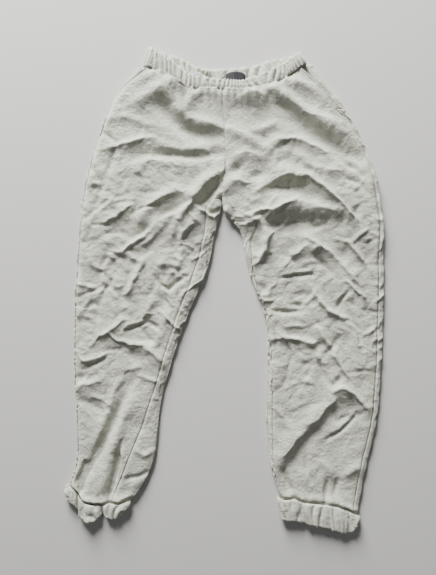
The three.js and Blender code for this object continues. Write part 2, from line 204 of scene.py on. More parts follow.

# %% [markdown]
# ## The folds
#
# Worn fleece keeps its folds. The large ones are drawn: each is a line of places with a height and
# a width on either side, a ridge if the height is positive and a crease if it is negative. Seen from the
# start of the line, the first width is on its left. The fine crumple between them is strewn at random, and
# the solver further on adds to it.

# %% Fold lines, in mm as seen from above: (height, left width, right width, places)
FOLDS = {
    "right": [
        (8, 13, 22, [(-205, 440), (-170, 460), (-135, 469), (-105, 462), (-88, 450)]),
        (8, 14, 16, [(-190, 404), (-160, 418), (-132, 437), (-105, 446), (-88, 440)]),
        (6, 18, 13, [(-135, 430), (-112, 412), (-96, 390)]),
        (6, 12, 12, [(-96, 388), (-80, 398), (-65, 420), (-45, 434), (-22, 427), (-8, 412)]),
        (7, 11, 14, [(-98, 386), (-85, 372), (-60, 365), (-30, 358), (-3, 348)]),
        (-9, 15, 15, [(-145, 410), (-118, 378), (-92, 350), (-60, 337), (-15, 333)]),
        (3, 8, 8, [(-270, 352), (-240, 370), (-205, 372), (-170, 358), (-140, 352)]),
        (3.5, 6, 7, [(-262, 303), (-225, 313), (-190, 322), (-155, 330)]),
        (4, 8, 9, [(-150, 325), (-120, 311), (-90, 303), (-60, 306), (-35, 300)]),
        (-6, 10, 12, [(-200, 294), (-150, 294), (-100, 291), (-50, 290), (-5, 300)]),
        (4, 10, 14, [(-200, 262), (-165, 278), (-110, 283), (-60, 279), (0, 284)]),
        (-3, 4, 4, [(-262, 343), (-225, 318)]),
        (-3, 4, 4, [(-225, 320), (-238, 290), (-246, 258)]),
        (-3, 4, 4, [(-286, 275), (-258, 228), (-275, 182)]),
        (-2.5, 4, 4, [(-300, 155), (-272, 178), (-250, 195)]),
        (9, 12, 10, [(-108, 130), (-92, 165), (-68, 205), (-42, 238), (-5, 262)]),
        (-10, 10, 9, [(-48, 190), (-36, 212), (-14, 236)]),
        (6, 10, 10, [(-182, 152), (-170, 172), (-145, 197), (-108, 218), (-65, 207)]),
        (-5, 8, 8, [(-132, 168), (-110, 178), (-80, 193), (-65, 203)]),
        (4.5, 6, 8, [(-215, 95), (-170, 120), (-138, 152), (-115, 165)]),
        (3.5, 5, 6, [(-190, 92), (-160, 112), (-138, 136), (-124, 150)]),
        (3, 7, 7, [(-250, 152), (-215, 176), (-185, 196)]),
        (7, 14, 12, [(-94, 98), (-90, 130), (-70, 152), (-54, 168)]),
        (-5, 6, 6, [(-100, 150), (-104, 120), (-104, 88)]),
        (3, 6, 6, [(-235, 88), (-205, 82), (-175, 63)]),
        (3, 6, 6, [(-292, 88), (-278, 60), (-252, 50)]),
        (4, 6, 7, [(-206, 0), (-195, 26), (-180, 55), (-165, 80)]),
        (-4, 4, 4, [(-150, 36), (-138, 18), (-120, 9), (-100, 28), (-84, 36)]),
        (4, 6, 6, [(-125, 33), (-105, 55), (-90, 75)]),
        (-4, 8, 8, [(-138, -3), (-125, -28)]),
        (4, 6, 7, [(-176, -52), (-165, -34), (-153, -14)]),
        (-4, 4, 4, [(-214, -78), (-190, -72), (-165, -61), (-150, -68), (-136, -82)]),
        (4, 8, 8, [(-146, -96), (-130, -70), (-124, -40)]),
        (4.5, 7, 9, [(-202, -107), (-175, -110), (-150, -130), (-134, -148)]),
        (-4, 10, 10, [(-205, -125), (-180, -142)]),
        (-4, 5, 5, [(-302, -163), (-280, -149), (-256, -140)]),
        (-5, 12, 12, [(-318, -178), (-282, -182)]),
        (5, 8, 10, [(-322, -203), (-292, -190), (-262, -184)]),
        (3, 6, 6, [(-270, -92), (-245, -82), (-220, -60)]),
        (-3, 5, 5, [(-300, -40), (-280, -20), (-262, -26)]),
        (-9, 10, 13, [(-198, -185), (-215, -228), (-234, -268), (-256, -310), (-277, -346), (-297, -386),
                      (-306, -420)]),
        (-9, 4.5, 4.5, [(-221, -314), (-229, -358), (-239, -400), (-247, -440)]),
        (6, 12, 13, [(-205, -215), (-222, -270), (-240, -330), (-258, -400), (-275, -435)]),
        (5, 13, 9, [(-225, -190), (-245, -240), (-262, -290), (-285, -340), (-303, -372)]),
        (-4, 9, 9, [(-314, -225), (-285, -236), (-262, -248)]),
        (-4, 5, 5, [(-213, -395), (-185, -390), (-160, -380)]),
        (3, 5, 5, [(-190, -332), (-172, -345), (-150, -334)]),
        (5, 10, 10, [(-225, -320), (-213, -360), (-220, -410)]),
        (-7, 6, 6, [(-292, -362), (-300, -385), (-318, -402)]),
        (7, 9, 9, [(-324, -368), (-329, -390), (-322, -410)]),
        (-9, 4.5, 4.5, [(-299, -360), (-302, -385), (-308, -425)]),
    ],
    "left": [
        (8, 11, 28, [(-5, 412), (8, 430), (30, 436), (60, 423), (98, 402)]),
        (9, 11, 19, [(50, 425), (75, 436), (100, 431), (125, 417), (150, 397), (175, 379), (205, 366),
                     (240, 352)]),
        (-9, 14, 17, [(95, 408), (140, 384), (165, 358), (195, 333), (230, 310), (265, 292), (288, 288)]),
        (6, 12, 14, [(100, 439), (130, 449), (165, 444), (200, 427), (235, 401)]),
        (4, 8, 9, [(55, 345), (80, 350), (104, 360), (118, 345)]),
        (5, 9, 10, [(0, 348), (28, 340), (52, 326), (75, 309), (100, 298)]),
        (5, 8, 10, [(85, 312), (112, 326), (150, 325), (180, 312), (215, 300)]),
        (4, 8, 9, [(135, 300), (160, 284), (185, 266), (215, 258), (240, 262)]),
        (8, 12, 14, [(100, 265), (140, 256), (175, 243), (202, 224), (228, 203), (252, 180), (272, 155)]),
        (4, 8, 10, [(5, 268), (20, 290), (45, 298), (70, 290), (95, 285)]),
        (5, 10, 13, [(68, 215), (88, 238), (115, 248), (150, 245)]),
        (-5, 9, 9, [(92, 222), (125, 226), (158, 220)]),
        (5, 12, 11, [(-8, 214), (15, 238), (45, 240), (70, 228)]),
        (-4, 8, 8, [(15, 258), (32, 269)]),
        (-4, 8, 8, [(45, 242), (77, 256)]),
        (7.5, 9, 22, [(62, 172), (85, 174), (115, 184), (150, 192), (195, 177), (240, 172)]),
        (-7, 13, 15, [(85, 150), (125, 145), (175, 150), (228, 155)]),
        (6.5, 9, 8, [(60, 160), (78, 145), (88, 125), (84, 95), (72, 70)]),
        (-6, 8, 8, [(58, 122), (66, 100), (70, 80)]),
        (5, 8, 10, [(160, 120), (190, 107), (220, 88), (255, 62)]),
        (4, 8, 10, [(128, 50), (142, 78), (168, 95), (200, 98)]),
        (3.5, 6, 6, [(262, 105), (290, 75), (312, 44)]),
        (-5, 13, 13, [(238, 92), (262, 66)]),
        (-3, 4, 4, [(245, 280), (275, 262), (298, 240)]),
        (-3, 4, 4, [(250, 246), (283, 233), (296, 215)]),
        (-3.5, 5, 5, [(215, 232), (245, 200), (275, 165)]),
        (-4, 5, 5, [(190, 76), (212, 58), (227, 40)]),
        (-4, 4, 4, [(118, 30), (150, 36), (190, 38)]),
        (5, 5.5, 6, [(182, 14), (200, -14), (218, -36), (250, -53)]),
        (-4, 4, 4, [(262, 5), (248, -15), (240, -32)]),
        (-4, 4, 4, [(108, -38), (140, -41), (170, -38)]),
        (-3, 4, 4, [(138, -24), (165, -28)]),
        (5, 6, 7, [(200, -74), (212, -100), (232, -130), (245, -152)]),
        (4, 6, 8, [(95, -96), (130, -95), (165, -100), (205, -115)]),
        (-5, 8, 8, [(188, -120), (213, -108)]),
        (-3.5, 4, 4, [(264, -40), (280, -72), (297, -118)]),
        (-4, 5, 5, [(296, -15), (313, -58), (328, -88)]),
        (-4, 5, 5, [(200, -150), (212, -178), (224, -203)]),
        (-4.5, 6, 6, [(246, -176), (226, -204)]),
        (5, 8, 9, [(222, -204), (250, -200), (275, -215), (296, -238)]),
        (3, 5, 6, [(112, -78), (125, -88), (140, -98)]),
        (7, 17, 15, [(103, -388), (120, -350), (145, -312), (172, -282), (202, -252), (225, -226),
                      (250, -208)]),
        (-5, 12, 15, [(126, -378), (148, -352), (168, -318), (192, -292), (225, -262), (262, -245)]),
        (-5, 4, 4, [(214, -312), (245, -294), (265, -276), (281, -256)]),
        (-5, 5, 5, [(232, -250), (240, -272), (262, -262)]),
        (-3, 4, 4, [(172, -340), (174, -375), (186, -402)]),
        (4, 8, 8, [(205, -350), (220, -375), (228, -388)]),
        (-6, 5, 5, [(216, -402), (215, -430), (212, -450)]),
        (-6, 4.5, 4.5, [(126, -376), (136, -408), (150, -440)]),
        (3, 8, 8, [(105, -238), (125, -268), (142, -300)]),
        (-5, 5, 5, [(240, -398), (234, -428)]),
        (4, 8, 8, [(255, -388), (275, -370), (288, -372)]),
    ],
}
SHARPNESS = 1.9  # 2 would be a bell; less brings the crest to an edge
FOLD_HEIGHT_SHARE = 1.12  # a little more than drawn, since settling flattens a fold
FOLD_WIDTH_SHARE = 1.1  # the same for its width


def measured(points):
    """The lengths of a line's steps, and the distance from its start to each of its points."""
    lengths = np.linalg.norm(np.diff(points, axis=0), axis=1)
    return lengths, np.concatenate([[0], np.cumsum(lengths)])


def fold_height(x, y, lines):
    """Sum over the lines of height * taper * exp(-(distance / width) ** SHARPNESS), where taper falls to 0 at
    a line's ends and the width is the one for the side of the line that the place is on."""
    total = np.zeros(np.broadcast(x, y).shape)
    for height, left_width, right_width, places in lines:
        path = from_above(places)
        lengths, starts = measured(path)
        nearest = np.full(total.shape, np.inf)
        along = np.zeros(total.shape)
        side = np.zeros(total.shape)
        for a, b, length, start in zip(path[:-1], path[1:], lengths, starts):
            run = (b - a) / length
            step = np.clip((x - a[0]) * run[0] + (y - a[1]) * run[1], 0, length)
            dx, dy = x - a[0] - run[0] * step, y - a[1] - run[1] * step
            distance = np.hypot(dx, dy)
            closer = distance < nearest
            nearest = np.where(closer, distance, nearest)
            along = np.where(closer, (start + step) / starts[-1], along)
            side = np.where(closer, run[0] * dy - run[1] * dx, side)
        width = np.where(side > 0, left_width, right_width) * FOLD_WIDTH_SHARE * MM
        taper = np.sqrt(np.clip(np.sin(np.pi * (0.06 + 0.88 * along)), 0, 1))
        total += height * FOLD_HEIGHT_SHARE * MM * taper * np.exp(-((nearest / width) ** SHARPNESS))
    return total


def ripple(x, y, seed, wavelength, count=24):
    """Broad unevenness: the mean of `count` plane waves of about one wavelength in random directions,
    scaled to a spread of 1."""
    chance = np.random.default_rng(seed)
    turn = chance.uniform(0, np.pi, count)
    size = 2 * np.pi / (wavelength * chance.uniform(0.7, 1.5, count))
    phase = chance.uniform(0, 2 * np.pi, count)
    across, along = np.multiply.outer(x, size * np.cos(turn)), np.multiply.outer(y, size * np.sin(turn))
    waves = np.sin(across + along + phase)
    return waves.sum(-1) / np.sqrt(count / 2)


print(sum(len(lines) for lines in FOLDS.values()), "folds are drawn by hand")

# %% [markdown]
# ## The leg as a grid
#
# Each side of the trousers is one grid of places. Its columns run down the leg and its rows run across it:
# a column is a fixed share of the way between the inner and the outer edge, with one column kept on each
# seam, so a front panel and a back panel can be cut from the grid exactly along their seam.

# %% Seams and grid
INSEAM = {
    "right": [(-12, 215), (-40, 182), (-45, 129), (-58, 75), (-79, 14), (-104, -50), (-125, -117),
              (-150, -200), (-180, -290), (-205, -350), (-240, -436)],
    "left": [(58, 150), (54, 110), (61, 48), (82, -8), (93, -52), (99, -108), (102, -168), (101, -255),
             (102, -342), (109, -394), (122, -440)],
}
ANKLE_SEAM = {
    "right": [(-338, -408), (-322, -418), (-312, -434), (-300, -447), (-280, -450), (-262, -452),
              (-248, -446), (-228, -450), (-205, -441)],
    "left": [(112, -436), (128, -440), (147, -437), (162, -445), (190, -448), (212, -450), (240, -455),
             (258, -462), (284, -474)],
}
MOUTH_STAND = 2.5 * MM  # how far the pocket's stitched mouth stands up
TUCK = 2.5 * MM  # how far a leg's cloth goes into the waistband and the cuffs
OUTSEAM_INSET = {"right": 2 * MM, "left": 11 * MM}
STRIP_TOP = {"right": 0.199, "left": 0.150}  # below this the back panel wraps over the inner edge
SEAM_SHARES = (0.16, 0.95)  # where the inseam and the outseam lie across the grid
POCKET_MOUTH = {
    "right": [(-166, 478), (-230, 428), (-245, 400)],
    "left": [(162, 474), (212, 424), (247, 388)],
}
MOUTH_EASE, MOUTH_EASE_BELOW = 24 * MM, 22 * MM  # how long the edge's passing over is, and where it starts
COARSE, MEDIUM, FINE = 12 * MM, 6 * MM, 3 * MM
CROTCH_EASE = 80 * MM  # above the inseam its column passes to a fixed share of the way
GRID_ROUNDS, FACING_ROUNDS = 60, 30


def inner_edge(side, y):
    """The x of the silhouette between the legs at heights y."""
    return EDGE[side]["inner"](y)


def outline(side, y):
    """The x of the outer silhouette at heights y."""
    return EDGE[side]["outer"](y)


def front_outer_edge(side, y):
    """The outline, or the pocket's mouth where that is nearer to the middle. Just below the mouth's foot the
    edge passes from one to the other, so that no row of the grid crosses its neighbour."""
    mouth = from_above(POCKET_MOUTH[side])[::-1]
    outer = EDGE[side]["outer"](y)
    slope = (mouth[-1, 0] - mouth[-2, 0]) / (mouth[-1, 1] - mouth[-2, 1])
    at_mouth = np.where(y > mouth[-1, 1], mouth[-1, 0] + slope * (y - mouth[-1, 1]),
                        np.interp(y, mouth[:, 1], mouth[:, 0]))
    nearer = np.minimum if side == "left" else np.maximum
    share = np.clip((y - mouth[0, 1] + MOUTH_EASE_BELOW) / MOUTH_EASE, 0, 1)
    return outer + share * share * (3 - 2 * share) * (nearer(at_mouth, outer) - outer)


def row_ends(side, x, layer="front"):
    """The y of a grid's first and last row at each x: just inside the cuff and just inside the waistband."""
    seam = from_above(ANKLE_SEAM[side])
    return np.interp(x, seam[:, 0], seam[:, 1]) - TUCK, waist_line(layer, x) + TUCK


def leg_grid(side, spacing, outer_edge, layer="front", wide=0.27, long=0.90):
    """Flat places (rows, columns, 2) of one side, about `spacing` apart. The edges depend on y and the first
    and last row on x, so both are found together: each round moves y half of the way that is left."""
    row_count, column_count = int(long / spacing) + 1, int(wide / spacing) + 1
    share = np.linspace(0, 1, column_count)
    share[np.argmin(np.abs(share - SEAM_SHARES[0]))] = SEAM_SHARES[0]
    share[np.argmin(np.abs(share - SEAM_SHARES[1]))] = SEAM_SHARES[1]
    up = np.linspace(0, 1, row_count)[:, None]
    inseam = from_above(INSEAM[side])[::-1]
    y = np.full((row_count, column_count), 0.0) + (-0.43 + 0.88 * up)
    for _ in range(GRID_ROUNDS):
        inner, outer = inner_edge(side, y), outer_edge(side, y)
        on_inseam = np.interp(y, inseam[:, 1], inseam[:, 0])
        freely = inner + SEAM_SHARES[0] * (outer - inner)
        above = np.clip((y - inseam[-2, 1]) / CROTCH_EASE, 0, 1)
        on_inseam = on_inseam * (1 - above) + freely * above
        on_outseam = outer - OUTWARD[side] * OUTSEAM_INSET[side]
        first = share / SEAM_SHARES[0]
        second = (share - SEAM_SHARES[0]) / (SEAM_SHARES[1] - SEAM_SHARES[0])
        third = (share - SEAM_SHARES[1]) / (1 - SEAM_SHARES[1])
        x = np.where(share < SEAM_SHARES[0], inner + first * (on_inseam - inner),
                     np.where(share < SEAM_SHARES[1], on_inseam + second * (on_outseam - on_inseam),
                              on_outseam + third * (outer - on_outseam)))
        low, high = row_ends(side, x, layer)
        y = 0.5 * (y + low + (high - low) * up)
    return np.stack([x, y], -1), share


# %% [markdown]
# ## How high the cloth lies
#
# The front of a leg rises from its outline in a round roll and then lies nearly flat. `roll` is a quarter of
# an ellipse in the distance from the outline. The folds, the wrinkles and a broad unevenness are added.

# %% Resting height
EDGE_HEIGHT = 5 * MM
LEG_CROWN, HIP_CROWN = 12 * MM, 17 * MM
HIP_START, HIP_REACH = 60 * MM, 140 * MM  # where the crown starts to rise to the hips', and over what length
ROLL_WIDTH, UNDER_ROLL_WIDTH = 19 * MM, 7 * MM
BAND_SEAM_DROP, GATHER_REACH = 2 * MM, 22 * MM
BOTTOM = 0.3 * MM
LEAST_HEIGHT = 5 * MM  # leaves room for the back panel and the cloth itself under the deepest crease


def roll(distance, width):
    """A quarter of an ellipse: 0 at the outline and 1 from `width` inwards."""
    return np.sqrt(1 - (1 - np.clip(distance / width, 0, 1)) ** 2)


def distance_to(line, x, y):
    """The distance from every place of a grid to the nearest of a line's points."""
    gaps = (x.reshape(-1, 1) - line[:, 0]) ** 2 + (y.reshape(-1, 1) - line[:, 1]) ** 2
    return np.sqrt(gaps.min(1)).reshape(x.shape)


def from_outline(side, x, y):
    """The distance to the outer and to the inner silhouette."""
    heights = np.linspace(-0.5, 0.475, 330)
    outer = np.stack([EDGE[side]["outer"](heights), heights], -1)
    low = heights[heights < STRIP_TOP[side]]
    inner = np.stack([inner_edge(side, low), low], -1)
    return distance_to(outer, x, y), distance_to(inner, x, y)


def gathers(side, x, y):
    """Short ripples that an elastic pulls up in the cloth sewn to it, fading with distance from the seam."""
    low, high = row_ends(side, x)
    at_waist = np.sin(x / (2.6 * MM) + 3 * np.sin(x / 0.031)) * np.exp(-(high - y) / GATHER_REACH)
    at_ankle = np.sin(x / (3.3 * MM) + 4 * np.sin(x / 0.023)) * np.exp(-(y - low) / GATHER_REACH)
    return 1.3 * MM * at_waist + 1.2 * MM * at_ankle


CALM_ENDS, RESTLESS_MIDDLE, RESTLESS_REACH = 0.32, 30 * MM, 270 * MM
WRINKLES = 620
WRINKLE_REACH, WRINKLE_WIDTH, WRINKLE_HEIGHT = (9, 26), (3.4, 6.0), (1.0, 2.8)  # mm, least and most
WRINKLE_AREA = (340, 500)  # mm, half the width and half the length that they are strewn over


def wrinkles(x, y):
    """Short bent creases in random places and directions: each is height * exp(-(across / width) ** 2) *
    exp(-(along / reach) ** 4), where across is measured from a parabola. Both sides share them, so that they
    agree along the middle seam."""
    chance = np.random.default_rng(60)
    x, y = np.broadcast_arrays(x, y)
    total = np.zeros(x.shape)
    for _ in range(WRINKLES):
        centre_x, centre_y = (chance.uniform(-half, half) * MM for half in WRINKLE_AREA)
        turn = chance.uniform(0, np.pi)
        reach = chance.uniform(*WRINKLE_REACH) * MM
        width = chance.uniform(*WRINKLE_WIDTH) * MM
        bend = chance.normal(0, 5)
        height = chance.choice([-1, 1]) * chance.uniform(*WRINKLE_HEIGHT) * MM
        near = (np.abs(x - centre_x) < 1.7 * reach) & (np.abs(y - centre_y) < 1.7 * reach)
        dx, dy = x[near] - centre_x, y[near] - centre_y
        along = dx * np.cos(turn) + dy * np.sin(turn)
        across = dy * np.cos(turn) - dx * np.sin(turn) + bend * along * along
        total[near] += height * np.exp(-((across / width) ** 2) - (along / reach) ** 4)
    return total


def restless(y):
    """How much fine wrinkling there is: all of it along the thighs and shins, a third at the waist and the
    ankles, in the shape of exp(-u ** 4)."""
    return CALM_ENDS + (1 - CALM_ENDS) * np.exp(-(((y - RESTLESS_MIDDLE) / RESTLESS_REACH) ** 4))


def crumple(x, y):
    """Soft small lumps between sharp little creases: the creases are where a ripple passes through zero."""
    broad = np.sqrt(np.abs(ripple(x, y, 41, 0.060)) + 0.02)
    small = np.sqrt(np.abs(ripple(x + 0.2 * y, y, 43, 0.030)) + 0.01)
    return 1.5 * MM * (broad - 0.8) + 0.9 * MM * (small - 0.8)


def from_mouth(side, x, y):
    """How far inward of the pocket's mouth a place lies, with 30 mm added below the mouth's foot."""
    mouth = from_above(POCKET_MOUTH[side])
    run = (mouth[-1] - mouth[0]) / np.linalg.norm(mouth[-1] - mouth[0])
    outward = (x - mouth[0, 0]) * abs(run[1]) + OUTWARD[side] * (y - mouth[0, 1]) * abs(run[0])
    inward = -OUTWARD[side] * outward
    below_foot = np.clip((mouth[-1, 1] + 2 * MM - y) / (12 * MM), 0, 1)
    return inward + 30 * MM * below_foot


def calm_at_mouth(side, x, y):
    """1 away from the pocket's mouth, a fifth beside it, where two rows of stitches hold the cloth flat."""
    mouth = from_above(POCKET_MOUTH[side])
    heights = np.linspace(mouth[-1, 1], mouth[0, 1], 40)
    line = np.stack([np.interp(heights, mouth[::-1, 1], mouth[::-1, 0]), heights], -1)
    return np.clip(0.2 + distance_to(line, x, y) / (26 * MM), 0.2, 1)


def resting_height(side, x, y):
    """The front's height: edge + climb * (crown - edge - drop + shape), kept over a least height. Climb is
    the product of both edges' rolls. Shape is (folds + ripple + gathers + (crumple + wrinkles) * restless) *
    calm + puff + stand * (1 - calm)."""
    to_outer, to_inner = from_outline(side, x, y)
    hips = np.clip((y - HIP_START) / HIP_REACH, 0, 1)
    crown = LEG_CROWN + (HIP_CROWN - LEG_CROWN) * hips * hips * (3 - 2 * hips)
    climb = roll(to_outer, ROLL_WIDTH) * roll(to_inner, ROLL_WIDTH)
    low, high = row_ends(side, x)
    drop = BAND_SEAM_DROP * np.exp(-(((high - y) / (8 * MM)) ** 2))
    shape = fold_height(x, y, FOLDS[side]) + 0.9 * MM * ripple(x, y, 5, 0.09) + gathers(side, x, y)
    puffed = np.exp(-(((y - low - 12 * MM) / (8 * MM)) ** 2))
    sewn_down = np.exp(-(((y - low) / (4.5 * MM)) ** 2))
    puff = 3.5 * MM * (puffed - sewn_down)
    calm = calm_at_mouth(side, x, y)
    shape = (shape + (crumple(x, y) + wrinkles(x, y)) * restless(y)) * calm + puff + MOUTH_STAND * (1 - calm)
    return np.maximum(EDGE_HEIGHT + climb * (crown - EDGE_HEIGHT - drop + shape), LEAST_HEIGHT)


# %% [markdown]
# ## Crumpling by simulation
#
# The sheet has a little more cloth than the space it lies in, so it buckles. The solver works on the whole
# grid at once: every pair of neighbours is pulled back to its true distance, in batches that share no place,
# while gravity lays the sheet on the layer below. It starts coarse, for long creases, and ends fine.
# It is plain numpy, so it gives the same cloth every time.

# %% Buckling solver
GRAVITY_STEP = 0.03 * MM
STRETCH, SHEAR, BEND, DRAG = 1.0, 0.35, 0.2, 0.9
LIFT_ROOM, SINK_ROOM = 6.5 * MM, 1.5 * MM  # how far the cloth may rise or sink from its resting height
START_NOISE, LEVEL_NOISE = 1.5 * MM, 0.15 * MM  # unevenness that tells the cloth which way to buckle
SLACK, SLACK_SPREAD, SLACK_ENDS = 0.042, 0.018, (0.012, 0.075)  # extra length as a share of a link
LEVELS = ((COARSE, 150, 0.3), (MEDIUM, 110, 0.65), (FINE, 60, 0.9))  # spacing, rounds, share of the slack


def batches_of(shape, step):
    """Index pairs of all places `step` apart, in two batches within which no place comes twice."""
    down, right = step
    rows, columns = np.arange(shape[0] - down), np.arange(shape[1])
    if right < 0:
        first, second = columns[-right:], columns[:right]
    else:
        first, second = columns[: len(columns) - right], columns[right:]
    if down:
        for turn in range(2):
            chosen = rows[(rows // down) % 2 == turn]
            yield (chosen[:, None], first[None]), (chosen[:, None] + down, second[None])
    else:
        for turn in range(2):
            chosen = (first // right) % 2 == turn
            yield (rows[:, None], first[chosen][None]), (rows[:, None], second[chosen][None])


def settle(places, base, slack, free, rounds):
    """Position-based cloth: each batch moves both ends of its links by half the link's error."""
    links = []
    for step, stiffness in (((0, 1), STRETCH), ((1, 0), STRETCH), ((1, 1), SHEAR), ((1, -1), SHEAR),
                            ((0, 2), BEND), ((2, 0), BEND)):
        for a, b in batches_of(places.shape[:2], step):
            rest = np.linalg.norm(base[b] - base[a], axis=-1) * (1 + 0.5 * (slack[a] + slack[b]))
            total = np.maximum(free[a] + free[b], PLAIN)
            links.append((a, b, rest, stiffness * free[a] / total, stiffness * free[b] / total))
    speed = np.zeros_like(places)
    low = np.maximum(base[..., 2] - SINK_ROOM, LEAST_HEIGHT - 0.3 * MM)
    high = base[..., 2] + LIFT_ROOM
    for _ in range(rounds):
        moved = places + DRAG * speed
        moved[..., 2] -= GRAVITY_STEP * free
        for a, b, rest, share_a, share_b in links:
            gap = moved[b] - moved[a]
            length = np.sqrt((gap * gap).sum(-1)) + PLAIN
            error = (length - rest) / length
            moved[a] += (share_a * error)[..., None] * gap
            moved[b] -= (share_b * error)[..., None] * gap
        moved[..., 2] = np.where(free > 0, np.clip(moved[..., 2], low, high), moved[..., 2])
        speed = moved - places
        places = moved
    return places


def resample(grid, shape):
    """A grid of vectors read at another number of rows and columns, linearly."""
    rows, columns = (np.linspace(0, size - 1, count) for size, count in zip(grid.shape[:2], shape))
    r = np.minimum(rows.astype(int), grid.shape[0] - 2)
    c = np.minimum(columns.astype(int), grid.shape[1] - 2)
    fr, fc = (rows - r)[:, None, None], (columns - c)[None, :, None]
    near = grid[r][:, c] * (1 - fc) + grid[r][:, c + 1] * fc
    far = grid[r + 1][:, c] * (1 - fc) + grid[r + 1][:, c + 1] * fc
    return near * (1 - fr) + far * fr


def crumpled(side, seed, levels):
    """The front skin of one side: its flat grid raised to its resting height, then settled level by level."""
    chance = np.random.default_rng(seed)
    shift = None
    for spacing, rounds, loose in levels:
        flat, share = leg_grid(side, spacing, front_outer_edge)
        x, y = flat[..., 0], flat[..., 1]
        base = np.dstack([flat, resting_height(side, x, y)])
        slack = loose * restless(y) * np.clip(SLACK + SLACK_SPREAD * ripple(x, y, 11, 0.11), *SLACK_ENDS)
        free = np.ones(x.shape)
        free[[0, -1]] = 0
        free[:, [0, -1]] = 0
        if shift is None:
            shift = chance.normal(0, START_NOISE, base.shape) * [0, 0, 1]
        else:
            shift = resample(shift, x.shape)
        shift = shift + chance.normal(0, LEVEL_NOISE, base.shape) * [0, 0, 1]
        start = base + shift * free[..., None]
        settled = settle(start, base, slack, free, rounds)
        shift = settled - base
    return settled, share


SKIN = {}
for seed, side in enumerate(SIDES, 3):
    settled, share = crumpled(side, seed, LEVELS)
    SKIN[side] = {"top": settled, "share": share}
    print(side, "skin", settled.shape[:2], "stands", np.round(settled[..., 2].max() / MM, 1), "mm high")

# %% [markdown]
# ## Cutting the panels from the grid
#
# A grid becomes a mesh by joining each place to its neighbours. A panel takes only the faces on its own side
# of the seams. The back panel is the skin that lies on the floor, and the strips of it that come round the
# edges to the front. Thickness is added inwards, so the outside stays where the grid put it.

# %% Meshes from grids
CLOTH_THICKNESS = 1.8 * MM


def grid_faces(shape, keep=None, start=0, flip=False):
    """Quads between neighbours of a grid whose first place has index `start`."""
    index = start + np.arange(shape[0] * shape[1]).reshape(shape)
    quads = np.stack([index[:-1, :-1], index[:-1, 1:], index[1:, 1:], index[1:, :-1]], -1)
    if flip:
        quads = quads[..., ::-1]
    return quads.reshape(-1, 4) if keep is None else quads[keep]


def piece_from(name, points, faces, material, weld=0.0):
    """A mesh object from arrays; unused points are dropped and, on request, near ones are joined."""
    used, faces = np.unique(faces, return_inverse=True)
    mesh = bpy.data.meshes.new(name)
    mesh.from_pydata(points[used].tolist(), [], faces.reshape(-1, 4).tolist())
    if weld:
        work = bmesh.new()
        work.from_mesh(mesh)
        bmesh.ops.remove_doubles(work, verts=work.verts, dist=weld)
        work.to_mesh(mesh)
        work.free()
    mesh.polygons.foreach_set("use_smooth", np.full(len(mesh.polygons), True))
    piece = bpy.data.objects.new(name, mesh)
    bpy.context.scene.collection.objects.link(piece)
    mesh.materials.append(material)
    return piece


def with_modifier(piece, kind, **settings):
    """Adds a modifier with its settings and keeps its result as the mesh."""
    modifier = piece.modifiers.new(kind.lower(), kind)
    for key, value in settings.items():
        setattr(modifier, key, value)
    evaluated = piece.evaluated_get(bpy.context.evaluated_depsgraph_get())
    mesh = bpy.data.meshes.new_from_object(evaluated)
    piece.modifiers.clear()
    old = piece.data
    piece.data = mesh
    bpy.data.meshes.remove(old)
    return piece


def thicken(piece, thickness=CLOTH_THICKNESS):
    """Adds the cloth's thickness on the inside only."""
    return with_modifier(piece, "SOLIDIFY", thickness=thickness, offset=-1, use_even_offset=False)


def blend_at_knee(piece):
    """Bakes the piece's transform into its mesh."""
    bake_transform(piece)


# %% [markdown]
# ## Seam grooves
#
# Where two panels are sewn together, the seam pulls the cloth down into a narrow groove. Pressing the grid's
# own column there, and its neighbours by less, does this without cutting the surface.

# %% Seam grooves
def press(grid, rows, column, depth):
    """Presses a seam into a grid's column: the column itself by `depth`, its neighbours by less."""
    for offset, part in ((0, 1.0), (-1, 0.35), (1, 0.35)):
        if 0 <= column + offset < grid.shape[1]:
            grid[rows, column + offset, 2] -= depth * part


POCKET_END = {side: from_above(POCKET_MOUTH[side])[-1, 1] for side in SIDES}
for side in SIDES:
    skin = SKIN[side]
    top, share = skin["top"], skin["share"]
    skin["inseam"], skin["outseam"] = (int(np.argmin(np.abs(share - at))) for at in SEAM_SHARES)
    skin["strip_row"] = int(np.argmin(np.abs(top[:, 2, 1] - STRIP_TOP[side])))
    skin["pocket_row"] = int(np.argmin(np.abs(top[:, -1, 1] - POCKET_END[side])))
    press(top, slice(0, skin["strip_row"]), skin["inseam"], 1.8 * MM)
    press(top, slice(skin["strip_row"], None), 0, 1.8 * MM)
    press(top, slice(0, skin["pocket_row"]), skin["outseam"], 1.2 * MM)
    print(side, "inseam at column", skin["inseam"], "strip ends at row", skin["strip_row"])

# %% [markdown]
# ## Front and back panels
#
# The front takes the skin's faces between its seams. The back is its own grid on the floor, joined at both
# rims to the strips of skin that wrap over. Each panel spans its knee, so it takes the place of two nodes.

